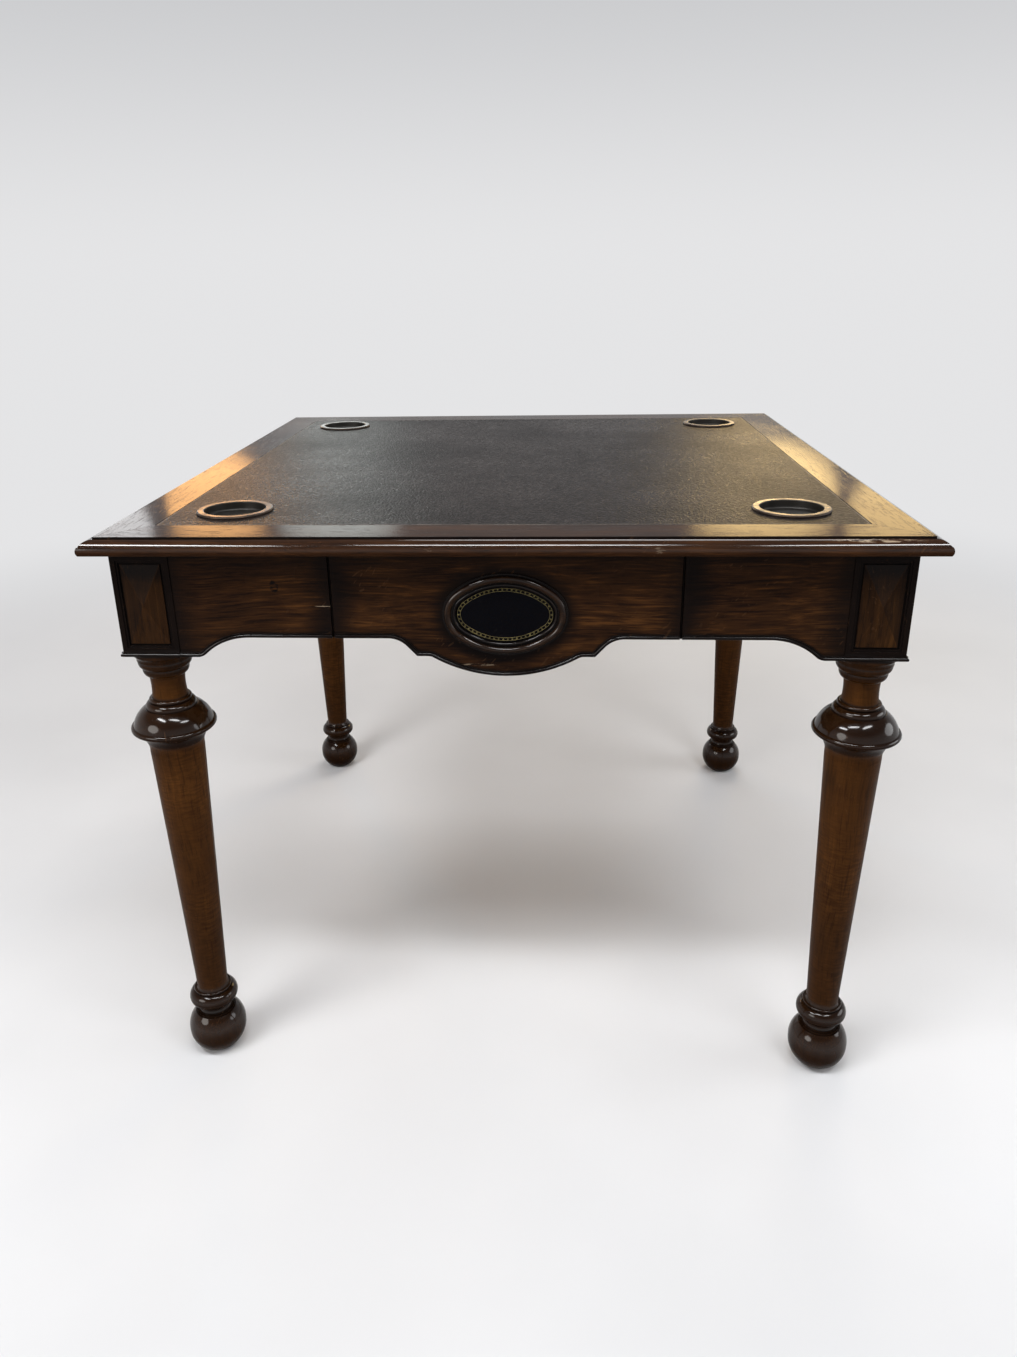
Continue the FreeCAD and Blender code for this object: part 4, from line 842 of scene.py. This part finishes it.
def gilt_border_tree():
    """A node tree for a gilt border along a closed path: a fine line each side of a row of scrolls."""
    tree, given, finish = node_group(
        "gilt_border", {"Path": "shape", "Scrolls": "count", "Scroll Size": "value", "Band": "value",
                        "Line": "value", "Gilt": "finish"},
        {"Border": "shape"}, "GeometryNodeTree")
    loop = tree.result("GeometryNodeMeshToCurve", {"Mesh": given["Path"]})
    tangent = tree.result("GeometryNodeInputTangent")
    outwards = tree.vector("CROSS_PRODUCT", tangent, (0.0, 1.0, 0.0))
    profile = tree.result("GeometryNodeCurvePrimitiveCircle", {"Resolution": 4, "Radius": given["Line"]})
    joined = tree.node("GeometryNodeJoinGeometry")
    for way in (-0.5, 0.5):
        shift = tree.result("ShaderNodeVectorMath", {0: outwards, "Scale": tree.times(given["Band"], way)},
                            operation="SCALE")
        moved = tree.result("GeometryNodeSetPosition", {"Geometry": loop, "Offset": shift})
        line = tree.result("GeometryNodeCurveToMesh", {"Curve": moved, "Profile Curve": profile})
        tree.feed(joined.inputs[0], line)
    spiral = tree.result("GeometryNodeCurveSpiral", {"Resolution": 8, "Rotations": 1.4, "Height": 0.0,
                                                     "Start Radius": 0.18, "End Radius": 1.0})
    stem = tree.result("GeometryNodeCurvePrimitiveCircle", {"Resolution": 3, "Radius": 0.2})
    scroll = tree.result("GeometryNodeCurveToMesh", {"Curve": spiral, "Profile Curve": stem})
    spots = tree.result("GeometryNodeResampleCurve", {"Curve": loop, "Count": given["Scrolls"]})
    upright = tree.result("FunctionNodeAlignRotationToVector", {"Vector": (0.0, -1.0, 0.0)}, axis="Z")
    turned = tree.result("FunctionNodeAlignRotationToVector", {"Rotation": upright, "Vector": tangent},
                         axis="X", pivot_axis="Z")
    row = tree.result("GeometryNodeInstanceOnPoints", {"Points": spots, "Instance": scroll,
                                                       "Rotation": turned, "Scale": given["Scroll Size"]})
    tree.feed(joined.inputs[0], tree.result("GeometryNodeRealizeInstances", {"Geometry": row}))
    whole = tree.result("GeometryNodeRealizeInstances", {"Geometry": joined.outputs[0]})
    gilded = tree.result("GeometryNodeSetMaterial", {"Geometry": whole, "Material": given["Gilt"]})
    return finish(border=gilded)


def gilt_border(tree, outline, middle, level):
    """The gilt tooling round one oval, as a plain mesh on the front of the table."""
    path = bpy.data.meshes.new("gilt_path")
    count = len(outline)
    path.from_pydata([(x, level, middle + z) for x, z in outline],
                     [(number, (number + 1) % count) for number in range(count)], [])
    maker = bpy.data.objects.new("gilt_maker", path)
    tooling = maker.modifiers.new("tooling", "NODES")
    tooling.node_group = tree
    for socket in tree.interface.items_tree:
        if socket.in_out == "INPUT" and socket.name in GILT_VALUES:
            tooling[socket.identifier] = GILT_VALUES[socket.name]
    return plain_mesh(maker)


def oval_medallions():
    """The leather oval and its gilt border on each of the four drawers."""
    low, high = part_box("drawer_front_oval_leather")
    half_width, half_height = (high.x - low.x) / 2, (high.z - low.z) / 2
    middle, face, thick = (low.z + high.z) / 2, high.y, high.y - low.y
    edge = oval_loop(half_width, half_height, OVAL_END_RADIUS)
    path = oval_loop(half_width - GILT_INSET, half_height - GILT_INSET, OVAL_END_RADIUS - GILT_INSET)
    tree = gilt_border_tree()
    for turn, side in enumerate(SIDES):
        about = Matrix.Rotation(QUARTER_TURN * turn, 4, "Z")
        facing = oval_facing(edge, middle, face, thick)
        facing.transform(about)
        new_piece(f"oval_leather_{side}", facing, OVAL_LEATHER, f"{side}_drawer",
                  f"drawer_{side}_oval_leather")
        gilt = gilt_border(tree, path, middle, face - thick * GILT_LEVEL_SHARE)
        gilt.transform(about)
        new_piece(f"gilt_border_{side}", gilt, GILT, f"{side}_drawer")


def gap_shade_strips():
    """Thin strips on the ends of the panels, round-nosed and set back, that close the joints beside the
    drawers:
    dark sheets that stand for the shade in those gaps."""
    panel_low, panel_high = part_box("apron_front_right")
    near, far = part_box("drawer_front_front")[1].x + STRIP_CLEARANCE, panel_low.x + STRIP_HOLD
    levels = (panel_high.z - STRIP_FALL, panel_high.z)
    middle, radius = (near + far) / 2, (far - near) / 2
    plan = []
    for step in range(STRIP_STEPS + 1):
        angle = math.pi * step / STRIP_STEPS
        plan.append((middle - radius * math.cos(angle), STRIP_NOSE + radius - radius * math.sin(angle)))
    plan += [(far, STRIP_BACK), (near, STRIP_BACK)]
    count = len(plan)
    mesh = bpy.data.meshes.new("gap_shade_strips")
    points, faces = [], []
    for quarter in range(len(SIDES)):
        about = Matrix.Rotation(QUARTER_TURN * quarter, 3, "Z")
        for way in (1, -1):
            first = len(points)
            loop = plan if way == 1 else [(-x, y) for x, y in plan[::-1]]
            points += [about @ Vector((x, y, level)) for level in levels for x, y in loop]
            lower = [first + number for number in range(count)]
            upper = [corner + count for corner in lower]
            faces += [(lower[n - 1], lower[n], upper[n], upper[n - 1]) for n in range(count)]
            faces += [tuple(reversed(lower)), tuple(upper)]
    mesh.from_pydata(points, [], faces)
    new_piece("gap_shade_strips", mesh, APRON_WOOD, "table")


playing_field()
oval_medallions()
gap_shade_strips()


# Studio

HORIZON, SKY, ZENITH = (0.78, 0.78, 0.79), (0.56, 0.565, 0.58), (0.15, 0.155, 0.165)
PAPER, PALE_PAPER = (0.76, 0.76, 0.77), (0.8, 0.8, 0.81)
FLOOR_STEPS, FLOOR_REACH, FLOOR_FADE = 48, 14.0, (0.9, 3.2)
TABLE_MIDDLE = Vector((0.0, 0.0, 0.45))
DAYLIGHT, EVENING, COOL = (0.97, 0.985, 1.0), (1.0, 0.96, 0.91), (0.92, 1.0, 0.96)
AMBER, GOLDEN = (1.0, 0.5, 0.16), (1.0, 0.68, 0.27)
# Softboxes that light the whole table: name, place, width, height, power and colour
SOFTBOXES = (("front_softbox", (-2.3, -2.3, 1.6), 1.6, 1.3, 31.0, EVENING),
             ("right_softbox", (2.9, -0.2, 1.3), 1.8, 1.2, 22.0, DAYLIGHT),
             ("back_softbox", (0.4, 1.9, 3.2), 2.2, 1.0, 34.0, DAYLIGHT))
# Strip lights over the front edge: name, place along it and power
CEILING_LIGHTS = (("ceiling_left", -1.1, 20.0), ("ceiling_middle", -0.05, 16.0),
                  ("ceiling_right", 1.0, 14.0))
CEILING_Y, CEILING_HEIGHT, CEILING_LIGHT_SIZE = -1.15, 2.25, (0.92, 0.22)
CEILING_AIM_SHARE, CEILING_AIM = 0.3, (-0.3, 0.5)  # a share of the light's own x, then y and z
# Small lamps behind the table that show in its polish: name, x, z, width, height, power and colour
BACK_LAMPS = (("far_left_lamp", -1.62, 1.41, 0.3, 0.3, 1.2, DAYLIGHT),
              ("left_lamp", -1.2, 1.28, 0.36, 0.36, 2.4, AMBER),
              ("back_window", -0.74, 1.27, 0.46, 0.4, 1.6, COOL),
              ("right_lamp", 0.8, 1.265, 0.52, 0.36, 3.6, GOLDEN),
              ("far_right_lamp", 1.27, 1.35, 0.32, 0.32, 1.6, GOLDEN))
BACK_LAMPS_Y, BACK_AIM_SHARE, BACK_AIM = 2.0, 0.35, (0.0, 0.76)
PHOTO_PLACE, PHOTO_ANGLES = (0.056, -1.513, 1.041), (3.65, 69.25, -1.02)  # turn, tilt and lean in degrees


def seen_directly(tree):
    """1 for what the camera sees, straight on or in a reflection or through glass."""
    light = tree.node("ShaderNodeLightPath").outputs
    return tree.largest(light["Is Camera Ray"], light["Is Glossy Ray"], light["Is Transmission Ray"])


def studio_floor():
    """A pale round floor that runs out into the pale air of the studio."""
    mesh = bpy.data.meshes.new("studio_floor")
    angles = [2 * math.pi * number / FLOOR_STEPS for number in range(FLOOR_STEPS)]
    rim = [(FLOOR_REACH * math.cos(angle), FLOOR_REACH * math.sin(angle), 0.0) for angle in angles]
    mesh.from_pydata(rim, [], [tuple(range(FLOOR_STEPS))])
    floor = bpy.data.objects.new("studio_floor", mesh)
    scene.collection.objects.link(floor)
    material, tree, shader = new_finish("studio_paper")
    place = tree.place()
    colour = tree.mix(tree.step(tree.noise(place, 2.0, 3.0), 0.3, 0.7), PAPER, PALE_PAPER)
    set_finish(tree, shader, base_color=colour, roughness=0.9, specular_ior_level=0.1)
    away = tree.vector("LENGTH", place)
    pale = tree.result("ShaderNodeEmission", {"Color": HORIZON, "Strength": 1.0})
    share = tree.times(seen_directly(tree), tree.step(away, *FLOOR_FADE))
    blend = tree.result("ShaderNodeMixShader", {0: share, 1: shader.outputs[0], 2: pale})
    tree.feed(material.node_tree.nodes["Material Output"].inputs["Surface"], blend)
    mesh.materials.append(material)


def soft_light(name, place, aim, width, height, power, colour):
    """A soft lamp that lights the table and shows in its polish, but isn't seen itself."""
    light = bpy.data.lights.new(name, "AREA")
    light.shape = "ELLIPSE"
    light.size, light.size_y = width, height
    light.energy = power
    light.color = colour
    lamp = bpy.data.objects.new(name, light)
    lamp.location = place
    lamp.rotation_euler = (Vector(aim) - Vector(place)).to_track_quat("-Z", "Y").to_euler()
    lamp.visible_camera = False
    scene.collection.objects.link(lamp)


def studio():
    """The floor, the pale air above it and the lamps."""
    studio_floor()
    world = bpy.data.worlds.new("studio_air")
    world.use_nodes = True
    scene.world = world
    tree = Tree(world.node_tree)
    up = tree.split(tree.node("ShaderNodeTexCoord").outputs["Generated"])[2]
    air = tree.mix(tree.step(up, 0.0, 0.3), HORIZON, SKY)
    air = tree.mix(tree.step(up, 0.3, 0.6), air, ZENITH)
    background = world.node_tree.nodes["Background"]
    tree.feed(background.inputs["Color"], air)
    tree.feed(background.inputs["Strength"], tree.step(seen_directly(tree), 0.0, 1.0, 0.8, 1.0))
    for name, place, width, height, power, colour in SOFTBOXES:
        soft_light(name, place, TABLE_MIDDLE, width, height, power, colour)
    for name, x, power in CEILING_LIGHTS:
        place, aim = (x, CEILING_Y, CEILING_HEIGHT), (x * CEILING_AIM_SHARE, *CEILING_AIM)
        soft_light(name, place, aim, *CEILING_LIGHT_SIZE, power, DAYLIGHT)
    for name, x, z, width, height, power, colour in BACK_LAMPS:
        place, aim = (x, BACK_LAMPS_Y, z), (x * BACK_AIM_SHARE, *BACK_AIM)
        soft_light(name, place, aim, width, height, power, colour)


def photo_camera():
    """The photo's viewpoint: its turn, tilt and lean, and the frame's middle a little off the lens axis."""
    lens = bpy.data.cameras.new("photo_camera")
    lens.sensor_width = 36.0
    lens.lens = 25.893
    lens.shift_x, lens.shift_y = 0.0095, -0.0310
    camera = bpy.data.objects.new("photo_camera", lens)
    turn, tilt, lean = (math.radians(angle) for angle in PHOTO_ANGLES)
    camera.matrix_world = (Matrix.Translation(PHOTO_PLACE) @ Matrix.Rotation(turn, 4, "Z")
                           @ Matrix.Rotation(tilt, 4, "X") @ Matrix.Rotation(lean, 4, "Z"))
    scene.collection.objects.link(camera)
    scene.camera = camera


studio()
photo_camera()
scene.view_settings.view_transform = "Standard"
